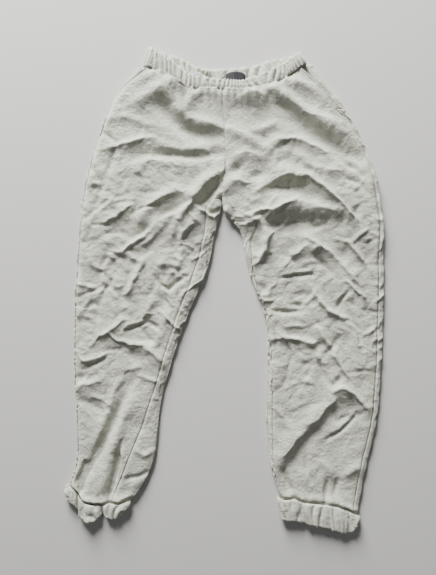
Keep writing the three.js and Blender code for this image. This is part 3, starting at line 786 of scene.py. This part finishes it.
# %% Panels
FLEECE = bpy.data.materials.new("fleece")
PANELS = {}
for side in SIDES:
    skin = SKIN[side]
    top = skin["top"]
    flip = side == "right"  # the right side's columns run towards -X, which turns its faces over
    row_of, column_of = np.indices((top.shape[0] - 1, top.shape[1] - 1))
    strip = (row_of < skin["strip_row"]) & (column_of < skin["inseam"])
    overlap = (row_of < skin["pocket_row"]) & (column_of >= skin["outseam"])
    front = piece_from(f"front_panel_{side}", top.reshape(-1, 3),
                       grid_faces(top.shape[:2], ~(strip | overlap), flip=flip), FLEECE)
    thicken(front)
    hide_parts(f"front_panel_{side}_thigh", f"front_panel_{side}_shin")
    blend_at_knee(front)

    flat, _ = leg_grid(side, FINE, outline, "back")
    x, y = flat[..., 0], flat[..., 1]
    to_outer, to_inner = from_outline(side, x, y)
    sink = roll(to_outer, UNDER_ROLL_WIDTH) * roll(to_inner, UNDER_ROLL_WIDTH)
    under = np.dstack([flat, EDGE_HEIGHT + (BOTTOM - EDGE_HEIGHT) * sink])
    under[:, :, 2] += 0.35 * MM * (1 + np.clip(ripple(x, y, 21, 0.05), -1, 1)) * sink
    under[: skin["strip_row"], 0] = top[: skin["strip_row"], 0]
    under[: skin["pocket_row"], -1] = top[: skin["pocket_row"], -1]
    places = np.concatenate([top.reshape(-1, 3), under.reshape(-1, 3)])
    faces = np.concatenate([
        grid_faces(top.shape[:2], strip | overlap, flip=flip),
        grid_faces(top.shape[:2], start=top.shape[0] * top.shape[1], flip=not flip),
    ])
    back = piece_from(f"back_panel_{side}", places, faces, FLEECE, weld=0.02 * MM)
    thicken(back)
    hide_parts(f"back_panel_{side}_thigh", f"back_panel_{side}_shin")
    blend_at_knee(back)
    PANELS[side] = {"front": front, "back": back}
    print(side, "front", len(front.data.polygons), "faces, back", len(back.data.polygons), "faces")

# %% [markdown]
# ## Waistband and cuffs
#
# A casing is a strip of the same cloth, folded round an elastic and sewn to the leg at its two long edges.
# The elastic is shorter than the cloth, so the cloth stands up in puffy lobes with sharp valleys between.
# The ring is a surface of two parameters: one goes round the flattened ring, the other from the outer seam,
# over the fold, to the inner seam. The lobes push that surface outwards.

# %% Casings
SECTION_PLACES = 26  # from the outer seam over the fold to the inner seam
INNER_FROM = 0.58  # the share of them after which the casing's inner layer begins
RING_SPACING = 1.1 * MM


def ring_path(width, low, high, count):
    """`count` evenly spaced places on a stadium, two straight runs joined by half circles: the distance
    round, the share of the width, the height and the angle of the outward normal."""
    radius = (high - low) / 2
    run, turn = width - 2 * radius, np.pi * radius
    d = np.linspace(0, 2 * (run + turn), count, endpoint=False)
    stage = [d < run, d < run + turn, d < 2 * run + turn]
    angle = np.select(stage, [d * 0 + np.pi / 2, np.pi / 2 - (d - run) / radius, d * 0 - np.pi / 2],
                      -np.pi / 2 - (d - 2 * run - turn) / radius)
    centre = np.select(stage, [radius + d, d * 0 + width - radius, width - radius - (d - run - turn)], radius)
    return d, (centre + radius * np.cos(angle)) / width, low + radius * (1 + np.sin(angle)), angle


def along_line(points, share):
    """Places at shares of a line's length, (count, 2)."""
    lengths, distance = measured(points)
    at = distance / lengths.sum()
    return np.stack([np.interp(share, at, points[:, axis]) for axis in (0, 1)], -1)


def lobes(phase):
    """Puffy between whole numbers, with a sharp valley at each: the root of a half sine, from 0 to 1."""
    return np.abs(np.sin(np.pi * phase)) ** 0.65


def section(reach, thickness, count):
    """From the outer seam over the fold to the inner one: distance from the seam, offset, and the outward
    direction's two parts, for a flat loop that is `thickness` thick. Arrays are (places, count)."""
    v = np.linspace(0, 1, count)
    half, wall = thickness / 2, 0.42
    turn = np.clip((v - wall) / (1 - 2 * wall), 0, 1) * np.pi
    run = np.clip(np.minimum(v, 1 - v) / wall, 0, 1)
    along = run * (reach[:, None] - half) + half * np.sin(turn)
    belly = 0.35 + 0.65 * np.sin(np.pi * np.clip(run, 0.02, 0.75)) ** 0.6
    return along, half * belly * np.cos(turn), np.sin(turn), np.cos(turn) + 0 * along


def ring_lines(seam, fold, share, front):
    """Seam and fold places round the ring: the back lines at its lowest, the front lines at its highest."""
    return (along_line(line["front"], share) * front + along_line(line["back"], share) * (1 - front)
            for line in (seam, fold))


def dented(z, share, up, front, dents):
    """Presses the front layer down along lines across the ring; a dent is (share, half width, depth)."""
    for at, half_width, depth in dents:
        z = z - depth * np.exp(-((share - at) / half_width) ** 2)[:, None] * front * np.clip(up + 0.4, 0, 1)
    return z


def ring_faces(shape, closed=False):
    """Quads of a grid whose first direction goes round a ring; if `closed`, its second goes round too."""
    index = np.arange(shape[0] * shape[1]).reshape(shape)
    after = np.roll(index, -1, 0)
    quads = np.stack([index, after, np.roll(after, -1, 1), np.roll(index, -1, 1)], -1)
    return quads if closed else quads[:, :-1]


def casing(name, seam, fold, low, high, thickness, pitches, lobe, seed, slant=0.8, dents=(), unrest=5):
    """A gathered ring. `seam` and `fold` hold front and back lines; `pitches` are the lobe widths at front
    and back. Each dent (share across, half width, depth) presses the front down."""
    chance = np.random.default_rng(seed)
    width = np.linalg.norm(seam["front"][-1] - seam["front"][0])
    count = int(2 * width / RING_SPACING)
    d, share, height, angle = ring_path(width, low, high, count)
    front = ((height - low) / (high - low))[:, None]
    start, end = ring_lines(seam, fold, share, front)
    reach = np.linalg.norm(end - start, axis=1)
    axis = (seam["front"][-1] - seam["front"][0]) / width
    down = (end - start) / reach[:, None]
    along, offset, out_along, out_offset = section(reach, thickness, SECTION_PLACES)

    def wander(scale):
        waves = chance.uniform(0, 2 * np.pi, 5)
        return sum(np.sin(2 * np.pi * k * d / d[-1] * scale + waves[k % 5]) for k in (2, 3, 5, 7)) / 2

    pitch = (pitches[0] * front[:, 0] + pitches[1] * (1 - front[:, 0])) * (1 + 0.28 * wander(2))
    phase = np.cumsum((d[1] - d[0]) / pitch)
    phase *= round(phase[-1]) / phase[-1]
    up = along / reach[:, None]
    lean = slant * wander(1)[:, None] * up + 0.10 * np.sin(4 * up + 2 * wander(1)[:, None])
    size = lobe * (1 + 0.4 * wander(unrest))[:, None] * (0.55 + 0.45 * np.sin(np.pi * np.clip(up, 0, 0.75)))
    inside = np.linspace(0, 1, SECTION_PLACES) > INNER_FROM
    depth_of = np.where(inside, 0.35 * front + 1.3 * (1 - front), front + 0.9 * (1 - front))
    push = size * (lobes(phase[:, None] + lean) - 0.62) * depth_of
    push += 0.22 * lobe * (lobes(2.3 * phase[:, None] + 0.5 - lean) - 0.6) * depth_of
    level = offset + push * out_offset
    flat = start[:, None] + down[:, None] * (along + push * out_along)[..., None]
    flat = flat + axis * (np.cos(angle)[:, None] * level)[..., None]
    z = height[:, None] + np.sin(angle)[:, None] * level
    z = dented(z, share, up, front, dents)
    places = np.dstack([flat, np.maximum(z, BOTTOM + 0.5 * MM)])
    quads = ring_faces(places.shape[:2])
    if axis[0] * down[0, 1] - axis[1] * down[0, 0] < 0:
        quads = quads[..., ::-1]
    piece = piece_from(f"{name}_cloth", places.reshape(-1, 3), quads.reshape(-1, 4), FLEECE)
    thicken(piece, 1.2 * MM)
    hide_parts(name)
    print(name, "has", int(round(phase[-1])), "gathers round", round(d[-1] / MM), "mm")
    return piece


BAND_ENDS = {"seam": (-0.169, 0.168), "fold": (-0.158, 0.155)}
FRONT_FOLD_DROP = 9 * MM  # the front fold hangs lower than the cut casing, which shows the back behind it
END_LIFT = 1 * MM  # both ends of the band stand a little higher


def band_line(ends, heights, drop=0.0, count=60):
    """A line across the band: the drop is full in the middle and gives way to the lift at both ends."""
    x = np.linspace(*ends, count)
    outward = (np.linspace(-1, 1, count)) ** 2
    return np.stack([x, heights(x) - drop * (1 - outward) + (END_LIFT * outward ** 2 if drop else 0)], -1)


BAND_SEAM = {layer: band_line(BAND_ENDS["seam"], lambda x, layer=layer: waist_line(layer, x))
             for layer in ("front", "back")}
BAND_FOLD = {"front": band_line(BAND_ENDS["fold"], WAIST_FOLD["front"], FRONT_FOLD_DROP),
             "back": band_line(BAND_ENDS["fold"], WAIST_FOLD["back"], 0.1 * MM)}
waistband = casing("waistband_casing", BAND_SEAM, BAND_FOLD, low=4.5 * MM, high=17.0 * MM, thickness=6 * MM,
                   pitches=(10.5 * MM, 25 * MM), lobe=5.0 * MM, seed=2)
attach(waistband, "upper")

CUFF_HEM = {
    "right": [(-341, -436), (-330, -445), (-318, -452), (-311, -474), (-295, -486), (-275, -483),
              (-262, -468), (-252, -477), (-238, -481), (-222, -471), (-206, -453)],
    "left": [(122, -483), (150, -484), (170, -490), (212, -498), (235, -506), (256, -512), (268, -510),
             (281, -492)],
}
DENTS = {
    "right": ((0.22, 0.035, 7 * MM), (0.61, 0.03, 7 * MM), (0.40, 0.05, -3 * MM)),
    "left": ((0.27, 0.03, 4 * MM), (0.60, 0.02, 3 * MM), (0.86, 0.03, 4 * MM)),
}
CUFFS, CUFF_SEAM, CUFF_FOLD = {}, {}, {}
for side in SIDES:
    seam_line, hem_line = from_above(ANKLE_SEAM[side]), from_above(CUFF_HEM[side])
    CUFF_SEAM[side] = {"front": seam_line, "back": seam_line}
    CUFF_FOLD[side] = {"front": hem_line, "back": hem_line + [0, 3 * MM]}
    CUFFS[side] = casing(f"cuff_{side}_casing", CUFF_SEAM[side], CUFF_FOLD[side], low=3.6 * MM, high=12 * MM,
                         thickness=5 * MM, pitches=(24 * MM, 20 * MM), lobe=5 * MM,
                         seed=7 if side == "left" else 8, dents=DENTS[side], unrest=1)
    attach(CUFFS[side], f"{side}_lower_leg")

# %% [markdown]
# ## Elastics
#
# Each elastic is a flat woven band sewn into a ring. It is out of sight in its casing, but it is what
# gathers the cloth, so it is there, a little narrower than the casing and as thin as the real one.

# %% Elastics
ELASTIC_THICKNESS = 1.1 * MM


def elastic(name, seam, fold, low, high, body, dents=()):
    """The same ring as a casing's, without lobes: a closed flat loop in its middle."""
    width = np.linalg.norm(seam["front"][-1] - seam["front"][0])
    d, share, height, angle = ring_path(width - 4 * MM, low, high, 220)
    axis = (seam["front"][-1] - seam["front"][0]) / width
    front = ((height - low) / (high - low))[:, None]
    start, end = ring_lines(seam, fold, 0.01 + 0.98 * share, front)
    turn = np.linspace(0, 2 * np.pi, 24, endpoint=False)
    up = 0.5 - 0.36 * np.sign(np.cos(turn)) * np.abs(np.cos(turn)) ** 0.4
    level = 0.5 * ELASTIC_THICKNESS * np.sign(np.sin(turn)) * np.abs(np.sin(turn)) ** 0.6
    flat = start[:, None] + (end - start)[:, None] * up[None, :, None]
    flat = flat + axis * (np.cos(angle)[:, None] * level)[..., None]
    z = dented(height[:, None] + np.sin(angle)[:, None] * level, share, up[None], front, dents)
    places = np.dstack([flat, np.maximum(z, BOTTOM + 1.5 * MM)])
    quads = ring_faces(places.shape[:2], closed=True)
    piece = piece_from(f"{name}_band", places.reshape(-1, 3), quads.reshape(-1, 4), ELASTIC)
    with_outward_faces(piece)
    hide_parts(name)
    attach(piece, body)
    print(name, "is", round(d[-1] / MM), "mm round")


def with_outward_faces(piece):
    """Turns every face so that it looks out of the piece."""
    work = bmesh.new()
    work.from_mesh(piece.data)
    bmesh.ops.recalc_face_normals(work, faces=work.faces)
    work.to_mesh(piece.data)
    work.free()


ELASTIC = bpy.data.materials.new("elastic")
elastic("waist_elastic", BAND_SEAM, BAND_FOLD, 5.0 * MM, 16.2 * MM, "upper")
for side in SIDES:
    elastic(f"cuff_{side}_elastic", CUFF_SEAM[side], CUFF_FOLD[side], 4.2 * MM, 11 * MM, f"{side}_lower_leg",
            DENTS[side])

# %% [markdown]
# ## Pockets
#
# The front panel ends at the slanted mouth. Behind it lies the facing, a piece of the same cloth that reaches
# out to the side seam. Two thin bags hang between the front and the back; they follow the front's folds,
# so each is the front skin's own grid, moved down by a few sheets' thickness.

# %% Facings and bags
FACING_UNDER = 24 * MM
GUTTER = 5 * MM  # the facing sags away behind the mouth, which opens a dark gap
BAG_CLOTH = 0.5 * MM
BAG_HALF_WIDTH, BAG_DROP = 75 * MM, 85 * MM  # the rounded lower end
BAG_DEPTHS = {"front": 2.9 * MM, "back": 4.3 * MM}  # under the front skin
BAG_FLOORS = {"front": 2.9 * MM, "back": 2.3 * MM}  # no part of a bag lies lower than this
LINING = bpy.data.materials.new("lining")


def facing_inner_edge(side, y):
    """Where the facing ends, out of sight under the front panel."""
    return front_outer_edge(side, y) - OUTWARD[side] * FACING_UNDER


def facing_grid(side, spacing=2.5 * MM):
    """Places from under the front panel out to the side seam, and from the mouth's foot up to the waist."""
    low = POCKET_END[side] - 18 * MM
    share = np.linspace(0, 1, int(60 * MM / spacing))
    up = np.linspace(0, 1, int(95 * MM / spacing))[:, None]
    y = low + 0 * share + 0.07 * up
    for _ in range(FACING_ROUNDS):
        inner, outer = facing_inner_edge(side, y), outline(side, y)
        x = inner + (outer - inner) * share
        y = 0.5 * (y + low + (waist_line("front", x) + TUCK - low) * up)
    return x, y


FACINGS = {}
for side in SIDES:
    x, y = facing_grid(side)
    to_outer, _ = from_outline(side, x, y)
    z = EDGE_HEIGHT + roll(to_outer, 16 * MM) * (4.5 * MM + 0.8 * MM * np.clip(ripple(x, y, 31, 0.04), -1, 1))
    inward = from_mouth(side, x, y)
    above_foot = np.clip((y - POCKET_END[side]) / (12 * MM), 0, 1)
    z -= GUTTER * np.exp(-((np.minimum(inward, 0) / (7 * MM)) ** 2)) * above_foot
    under = np.clip((inward + 4 * MM) / (6 * MM), 0, 1)
    z += under * (np.minimum(z, resting_height(side, x, y) - 5 * MM) - z)
    z = np.maximum(z, 3 * MM)
    facing = piece_from(f"pocket_facing_{side}_cloth", np.dstack([x, y, z]).reshape(-1, 3),
                        grid_faces(x.shape, flip=side == "right"), FLEECE)
    thicken(facing, 1.4 * MM)
    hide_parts(f"pocket_facing_{side}")
    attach(facing, "upper")
    FACINGS[side] = facing

BAGS = []
for side in SIDES:
    top = SKIN[side]["top"]
    for layer in ("front", "back"):
        low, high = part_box(f"pocket_bag_{side}_{layer}")
        within = (top[..., 0] > low[0]) & (top[..., 0] < high[0]) & (top[..., 1] > low[1])
        rows = np.flatnonzero(within.any(1))
        cols = np.flatnonzero(within.any(0))
        part = top[rows[0]: rows[-1] - 3, cols[0]: -3].copy()
        part[..., 2] = np.maximum(part[..., 2] - BAG_DEPTHS[layer], BAG_FLOORS[layer])
        centre = part[part.shape[0] // 2, part.shape[1] // 2]
        across = (part[..., 0] - centre[0]) / BAG_HALF_WIDTH
        below = np.minimum(part[..., 1] - centre[1], 0) / BAG_DROP
        rounded = np.hypot(across, below) < 1
        keep = rounded[:-1, :-1] & rounded[1:, 1:] & rounded[:-1, 1:] & rounded[1:, :-1]
        bag = piece_from(f"pocket_bag_{side}_{layer}_cloth", part.reshape(-1, 3),
                         grid_faces(part.shape[:2], keep, flip=side == "right"), LINING)
        thicken(bag, BAG_CLOTH)
        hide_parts(f"pocket_bag_{side}_{layer}")
        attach(bag, "upper")
        BAGS.append(bag)
print(len(BAGS), "pocket bags hang between front and back")

# %% [markdown]
# ## The front rise seam
#
# The two front panels meet in a seam from the crotch to the waistband. Its groove is already pressed into the
# skin. What holds the seam lies underneath, here as a narrow tape that follows the groove.

# %% Tape under the front rise seam
rise = SKIN["right"]["top"][SKIN["right"]["strip_row"] + 6: -3, 0]
tape_width, tape_under = 6 * MM, 3.0 * MM
share = np.linspace(-0.5, 0.5, 4)
tape_places = rise[:, None] + np.stack([share * tape_width, 0 * share, 0 * share], -1) - [0, 0, tape_under]
rise_tape = piece_from("rise_tape_front", tape_places.reshape(-1, 3), grid_faces(tape_places.shape[:2]),
                       bpy.data.materials.new("thread"))
THREAD = rise_tape.data.materials[0]
thicken(rise_tape, 0.6 * MM)
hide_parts("rise_thread_front")
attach(rise_tape, "upper")
print("rise tape is", round((rise[-1, 1] - rise[0, 1]) / MM), "mm long")

# %% [markdown]
# ## Stitches
#
# A row of stitches is one small spindle, repeated along a line on the cloth. Each has only a few faces, and
# all of a row's stitches are placed with one array sum.

# %% Stitches
STITCH_LENGTH, STITCH_PITCH, STITCH_WIDTH = 2.3 * MM, 3.0 * MM, 0.75 * MM
MOUTH_INSETS = (2.5 * MM, 8 * MM)  # two rows run beside the pocket's mouth


def stitches(name, line):
    """Spindles along a line (count, 3): four places round each of four rings, thin at both ends."""
    _, distance = measured(line)
    at = np.arange(STITCH_PITCH / 2, distance[-1], STITCH_PITCH)
    centre = np.stack([np.interp(at, distance, line[:, k]) for k in range(3)], -1)
    ahead = np.stack([np.interp(at + MM, distance, line[:, k]) for k in range(3)], -1)
    run = ahead - centre
    run /= np.maximum(np.linalg.norm(run, axis=1), PLAIN)[:, None]
    side_way = np.cross(run, [0, 0, 1])
    side_way /= np.maximum(np.linalg.norm(side_way, axis=1), PLAIN)[:, None]
    rise = np.cross(side_way, run)
    shape = np.array([(-0.5, 0.25), (-0.28, 0.9), (0.28, 0.9), (0.5, 0.25)])
    turn = np.arange(4) * np.pi / 2
    places = (centre[:, None, None] + run[:, None, None] * (shape[:, 0] * STITCH_LENGTH)[None, :, None, None]
              + 0.5 * STITCH_WIDTH * shape[:, 1][None, :, None, None]
              * (side_way[:, None, None] * np.cos(turn)[None, None, :, None]
                 + rise[:, None, None] * np.sin(turn)[None, None, :, None]))
    index = np.arange(16).reshape(4, 4)
    around = np.stack([index[:-1], index[1:], np.roll(index[1:], -1, 1), np.roll(index[:-1], -1, 1)], -1)
    one = np.concatenate([around.reshape(-1, 4), [index[0], index[3][::-1]]])
    faces = (one[None] + 16 * np.arange(len(at))[:, None, None]).reshape(-1, 4)
    piece = piece_from(name, places.reshape(-1, 3), faces, THREAD)
    with_outward_faces(piece)
    print(name, "has", len(at), "stitches")
    return piece


def joined(name, pieces):
    """One object from several of the same material."""
    with bpy.context.temp_override(active_object=pieces[0], selected_editable_objects=pieces):
        bpy.ops.object.join()
    pieces[0].name = name
    return pieces[0]


def line_on_skin(side, rows, inset):
    """The skin's surface at a distance inside the grid's outer edge, a stitch's half width above it."""
    top = SKIN[side]["top"][rows]
    gaps = np.linalg.norm(np.diff(top[:, ::-1], axis=1), axis=2)
    distance = np.concatenate([np.zeros((len(top), 1)), np.cumsum(gaps, 1)], 1)
    line = np.stack([[np.interp(inset, d, p[::-1, k]) for k in range(3)] for d, p in zip(distance, top)])
    return line + [0, 0, 0.15 * MM]


for side in SIDES:
    rows = slice(SKIN[side]["pocket_row"], -2)
    seams = [stitches(f"row_{k}", line_on_skin(side, rows, inset)) for k, inset in enumerate(MOUTH_INSETS)]
    mouth = joined(f"pocket_stitches_{side}", seams)
    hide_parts(f"pocket_topstitch_{side}")
    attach(mouth, "upper")

# %% [markdown]
# ## Labels
#
# Two labels are sewn into the back of the waist: a black satin one with an arched top, and a small pale one.
# Both are left blank. Each is a small grid, bent a little so that it catches the light.

# %% Labels
LABEL_BLACK, LABEL_PALE = (bpy.data.materials.new(name) for name in ("black satin", "pale tape"))


def label(name, x_ends, y_ends, height, arch, bend, material):
    """A small sheet, sizes in mm: its top edge drops by `arch` at both ends and its middle stands `bend`
    above its ends."""
    across_share, up = np.meshgrid(np.linspace(-1, 1, 22), np.linspace(0, 1, 18))
    x = np.interp(across_share, (-1, 1), x_ends) * MM
    top = y_ends[1] - arch * np.abs(across_share) ** 3
    y = (y_ends[0] + (top - y_ends[0]) * up) * MM
    curl = 0.25 * np.sin(7 * across_share + 3 * up)
    z = (height + bend * (1 - across_share ** 2) * (0.4 + 0.6 * up) + curl) * MM
    piece = piece_from(f"{name}_sewn", np.dstack([x, y, z]).reshape(-1, 3), grid_faces(x.shape), material)
    thicken(piece, 0.5 * MM)
    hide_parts(name)
    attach(piece, "upper")
    print(name, "is", x_ends[1] - x_ends[0], "by", y_ends[1] - y_ends[0], "mm")
    return piece


BRAND = label("brand_label", (0, 41), (434, 465), 10.4, 6, 1.6, LABEL_BLACK)
CARE = label("care_label", (-74, -51), (438, 463), 10.2, 1.5, 1.0, LABEL_PALE)

# %% [markdown]
# ## Stitches beside the left side seam
#
# The left side seam has rolled to the front, so its stitches show. They lie one column of the grid inside the
# seam.

# %% Topstitching beside the left side seam
seam_column = SKIN["left"]["outseam"]
beside = SKIN["left"]["top"][3: SKIN["left"]["pocket_row"], seam_column - 1] + [0, 0, 0.2 * MM]
outseam_row = stitches("side_seam_stitches_left", beside)
blend_at_knee(outseam_row)

# %% [markdown]
# ## Materials
#
# A finish is a small program over the surface's own coordinates. `Field` wraps a socket so that sums and
# products of patterns can be written as they are spoken, and `node` adds any other node.

# %% Shader tools
class Field:
    """A number that varies over a surface."""

    def __init__(self, tree, socket):
        self.tree, self.socket = tree, socket

    def math(self, operation, first, second):
        """One Math node over two fields or numbers."""
        step = self.tree.nodes.new("ShaderNodeMath")
        step.operation = operation
        for socket, value in zip(step.inputs, (first, second)):
            if isinstance(value, Field):
                self.tree.links.new(value.socket, socket)
            else:
                socket.default_value = value
        return Field(self.tree, step.outputs[0])

    def __add__(self, other):
        return self.math("ADD", self, other)

    def __mul__(self, other):
        return self.math("MULTIPLY", self, other)

    def __sub__(self, other):
        return self.math("SUBTRACT", self, other)

    def __rsub__(self, other):
        return self.math("SUBTRACT", other, self)

    def __pow__(self, other):
        return self.math("POWER", self, other)

    __radd__ = __add__


class Finish:
    """A material with its Principled shader at hand."""

    def __init__(self, material, roughness, **constants):
        material.use_nodes = True
        self.name = material.name
        self.tree = material.node_tree
        self.shader = self.tree.nodes["Principled BSDF"]
        self.shader.inputs["Roughness"].default_value = roughness
        for name, value in constants.items():
            self.shader.inputs[name.replace("_", " ")].default_value = value
        self.place = self.node("ShaderNodeTexCoord", {}, {}, "Object")

    def node(self, kind, settings, values, output=0):
        """Adds a node with its settings and its inputs' values or links, and gives one output."""
        made = self.tree.nodes.new(kind)
        for name, value in settings.items():
            setattr(made, name, value)
        for name, value in values.items():
            if isinstance(value, Field):
                self.tree.links.new(value.socket, made.inputs[name])
            else:
                made.inputs[name].default_value = value
        return Field(self.tree, made.outputs[output])

    def stretched(self, scale):
        """The surface's coordinates, scaled by axis."""
        return self.node("ShaderNodeMapping", {}, {"Vector": self.place, "Scale": scale})

    def noise(self, scale, detail=3.0, roughness=0.5, place=None):
        """Cloudy noise: `scale` waves to the metre."""
        values = {"Vector": place or self.place, "Scale": scale, "Detail": detail, "Roughness": roughness}
        return self.node("ShaderNodeTexNoise", {}, values, "Fac")

    def bands(self, direction, scale, **more):
        """Even bands that follow each other in one direction."""
        values = {"Vector": self.place, "Scale": scale}
        values.update({name.replace("_", " "): value for name, value in more.items()})
        return self.node("ShaderNodeTexWave", {"bands_direction": direction}, values, "Fac")

    def paint(self, share, dark, light):
        """The base colour: dark where the share is 0, light where it is 1."""
        values = {0: share, 6: (*dark, 1), 7: (*light, 1)}
        color = self.node("ShaderNodeMix", {"data_type": "RGBA"}, values, 2)
        self.tree.links.new(color.socket, self.shader.inputs["Base Color"])

    def bump(self, height, distance, strength):
        """Dents the surface by a field, `distance` metres deep."""
        values = {"Height": height, "Distance": distance, "Strength": strength}
        normal = self.node("ShaderNodeBump", {}, values, "Normal")
        self.tree.links.new(normal.socket, self.shader.inputs["Normal"])
        print(self.name, "is made of", len(self.tree.nodes), "nodes")

    def rough(self, field):
        """Lets the roughness vary by a field."""
        self.tree.links.new(field.socket, self.shader.inputs["Roughness"])


# %% [markdown]
# ### Fleece
#
# Fleece has a knitted face: fine ribs of heathered yarn with a worn fuzz and small pills on it. Noise of
# several sizes colours and dents it, and a sheen lights the fuzz where the cloth turns away.

# %% Fleece: a knitted face of fine ribs, heathered yarn, and a slight worn fuzz
fleece = Finish(FLEECE, 0.92, Sheen_Weight=0.25, Sheen_Roughness=0.5, Specular_IOR_Level=0.25)
broad = fleece.noise(7, 4)
yarn = fleece.noise(520, 2, 0.6, fleece.stretched((1.0, 0.22, 1.0)))
pills = fleece.noise(160, 2, 0.6) ** 4.0
speck = fleece.noise(900, 1)
worn = fleece.noise(55, 6, 0.7)
grain = fleece.noise(190, 3, 0.7)
shade = broad * 0.20 + (worn - 0.5) * 0.7 + (grain - 0.5) * 0.6 + 0.42 + (yarn - 0.5) * 0.4 + speck * 0.15
fleece.paint(shade, (0.29, 0.295, 0.235), (0.78, 0.785, 0.665))
fleece.rough(0.84 + yarn * 0.14)
ribs = fleece.bands("X", 230.0, Distortion=1.5, Detail=2.0, Detail_Scale=2.0)
fuzz = fleece.noise(260, 4, 0.65)
bend = fleece.noise(30, 2, 0.5) - 0.5
ridge = 1 - bend.math("ABSOLUTE", bend, 0) * 7.0
crease = ridge.math("MAXIMUM", ridge, 0) * fleece.noise(21, 2)
nap = ribs * 0.22 + fuzz * 0.9 + pills * 1.6 + yarn * 0.4 + grain * 1.6
fleece.bump(nap + crease * 1.2, 1.2 * MM, 0.9)

# %% [markdown]
# ### Lining, elastic and thread
#
# Pocket bags are thin plain-woven cotton, the elastics are rubber cords under white yarn, and sewing thread
# is twisted. Bands give all three: two sets crossed for the weave, one set for the cords, slanting ones for
# the twist. At this size that looks the same as modelled yarns.

# %% Lining: thin plain woven cotton
lining = Finish(LINING, 0.85, Specular_IOR_Level=0.3)
warp, weft = lining.bands("X", 480.0), lining.bands("Y", 480.0)
lining.paint(lining.noise(60) * 0.6 + warp * weft * 0.4, (0.50, 0.51, 0.46), (0.66, 0.67, 0.61))
lining.bump(warp * weft, 0.3 * MM, 0.6)

# %% Elastic: white rubber cores under lengthwise yarns
woven = Finish(ELASTIC, 0.7, Specular_IOR_Level=0.35)
cords = woven.bands("Y", 160.0)
woven.paint(cords * 0.5 + woven.noise(300) * 0.5, (0.52, 0.52, 0.49), (0.76, 0.76, 0.72))
woven.bump(cords, 0.5 * MM, 0.7)

# %% Thread: twisted, a shade lighter than the cloth
thread = Finish(THREAD, 0.6, Sheen_Weight=0.15)
twist = thread.bands("DIAGONAL", 420.0)
thread.paint(twist * 0.6 + thread.noise(500) * 0.4, (0.50, 0.51, 0.44), (0.72, 0.72, 0.65))
thread.bump(twist, 0.15 * MM, 0.8)

# %% [markdown]
# ### Labels
#
# One label is black satin, which shines a little across its yarns, and the other is a pale woven tape. Both
# stay blank.

# %% Labels: plain black satin, and a small pale tape left blank
satin = Finish(LABEL_BLACK, 0.5, Specular_IOR_Level=0.35)
rows_of_yarn = satin.bands("Y", 560.0)
satin.paint(rows_of_yarn * 0.5 + satin.noise(400) * 0.5, (0.004, 0.004, 0.005), (0.016, 0.017, 0.020))
satin.rough(0.45 + satin.noise(90) * 0.2)
satin.bump(rows_of_yarn, 0.15 * MM, 0.5)
tape = Finish(LABEL_PALE, 0.6, Specular_IOR_Level=0.4)
tape_yarn = tape.bands("X", 520.0)
tape.paint(tape_yarn * 0.4 + tape.noise(200) * 0.6, (0.38, 0.42, 0.46), (0.58, 0.62, 0.66))
tape.bump(tape_yarn, 0.12 * MM, 0.5)

# %% [markdown]
# ### Threads of the long seams
#
# The threads of the side, inner and back seams keep their CAD shape and only get the thread's finish.

# %% Finishes for the nodes that stay
for name, node in frame["nodes"].items():
    if name.startswith(("outseam_thread", "inseam_thread", "rise_thread")):
        for slot in node.material_slots:
            slot.material = THREAD
        print(name, "gets the thread finish")

# %% [markdown]
# ## Floor and light
#
# A window's low, soft light comes from beyond the waist and draws the folds' shadows. A faint one from above
# and a dim room keep the shadows open.

# %% Floor and light
FLOOR_HALF, FLOOR_TOP = 12.0, -0.2 * MM  # just under the cloth
FLOOR_PAINT = bpy.data.materials.new("floor")
Finish(FLOOR_PAINT, 0.8, Base_Color=(0.62, 0.61, 0.59, 1))
corners = np.array([(-1, -1, 0), (1, -1, 0), (1, 1, 0), (-1, 1, 0)]) * FLOOR_HALF + [0, 0, FLOOR_TOP]
floor = piece_from("floor", corners, np.array([[0, 1, 2, 3]]), FLOOR_PAINT)


def lamp(name, place, size, power):
    """A round soft light that looks at the middle of the trousers."""
    light = bpy.data.lights.new(name, "AREA")
    light.shape, light.size, light.energy = "DISK", size, power
    holder = bpy.data.objects.new(name, light)
    holder.location = place
    holder.rotation_euler = (-Vector(place)).to_track_quat("-Z", "Y").to_euler()
    bpy.context.scene.collection.objects.link(holder)
    print(name, "lamp has", power, "W")


lamp("window", (-0.95, 3.45, 1.3), 1.8, 590)
lamp("sky", (0.3, -0.4, 2.6), 2.4, 3)
world = bpy.data.worlds.new("room")
bpy.context.scene.world = world
world.use_nodes = True
world.node_tree.nodes["Background"].inputs["Color"].default_value = (0.95, 0.97, 1.0, 1)
world.node_tree.nodes["Background"].inputs["Strength"].default_value = 0.10

# %% [markdown]
# ## What each sheet was cut from
#
# For every piece of cloth, the size of the rectangle that it was cut from is printed.

# %% Sheets
def cut(piece, width, length, area, held, *under):
    """Prints a sheet's name and rectangle; its area, how it is held and what it lies on are not used."""
    print(piece.name, "is cut from", width, "by", length, "m")


for side in SIDES:
    front, back = PANELS[side]["front"], PANELS[side]["back"]
    wide = side == "left"
    cut(front, 0.33 if wide else 0.31, 0.98, 0.245 if wide else 0.215, "laid", back.name)
    cut(back, 0.34 if wide else 0.33, 0.98, 0.245 if wide else 0.235, "laid", "floor")
    cut(CUFFS[side], 0.40 if wide else 0.32, 0.10, 0.036 if wide else 0.024, "gathered", "floor")
    cut(FACINGS[side], 0.06, 0.11, 0.0042 if wide else 0.0035, "laid", back.name)
cut(waistband, 0.90, 0.075, 0.055, "gathered", "floor")
for bag in BAGS:
    cut(bag, 0.17, 0.20, 0.024, "laid", PANELS["left" if "left" in bag.name else "right"]["back"].name)
cut(BRAND, 0.044, 0.036, 0.00125, "laid", waistband.name)
cut(CARE, 0.024, 0.028, 0.0006, "laid", waistband.name)
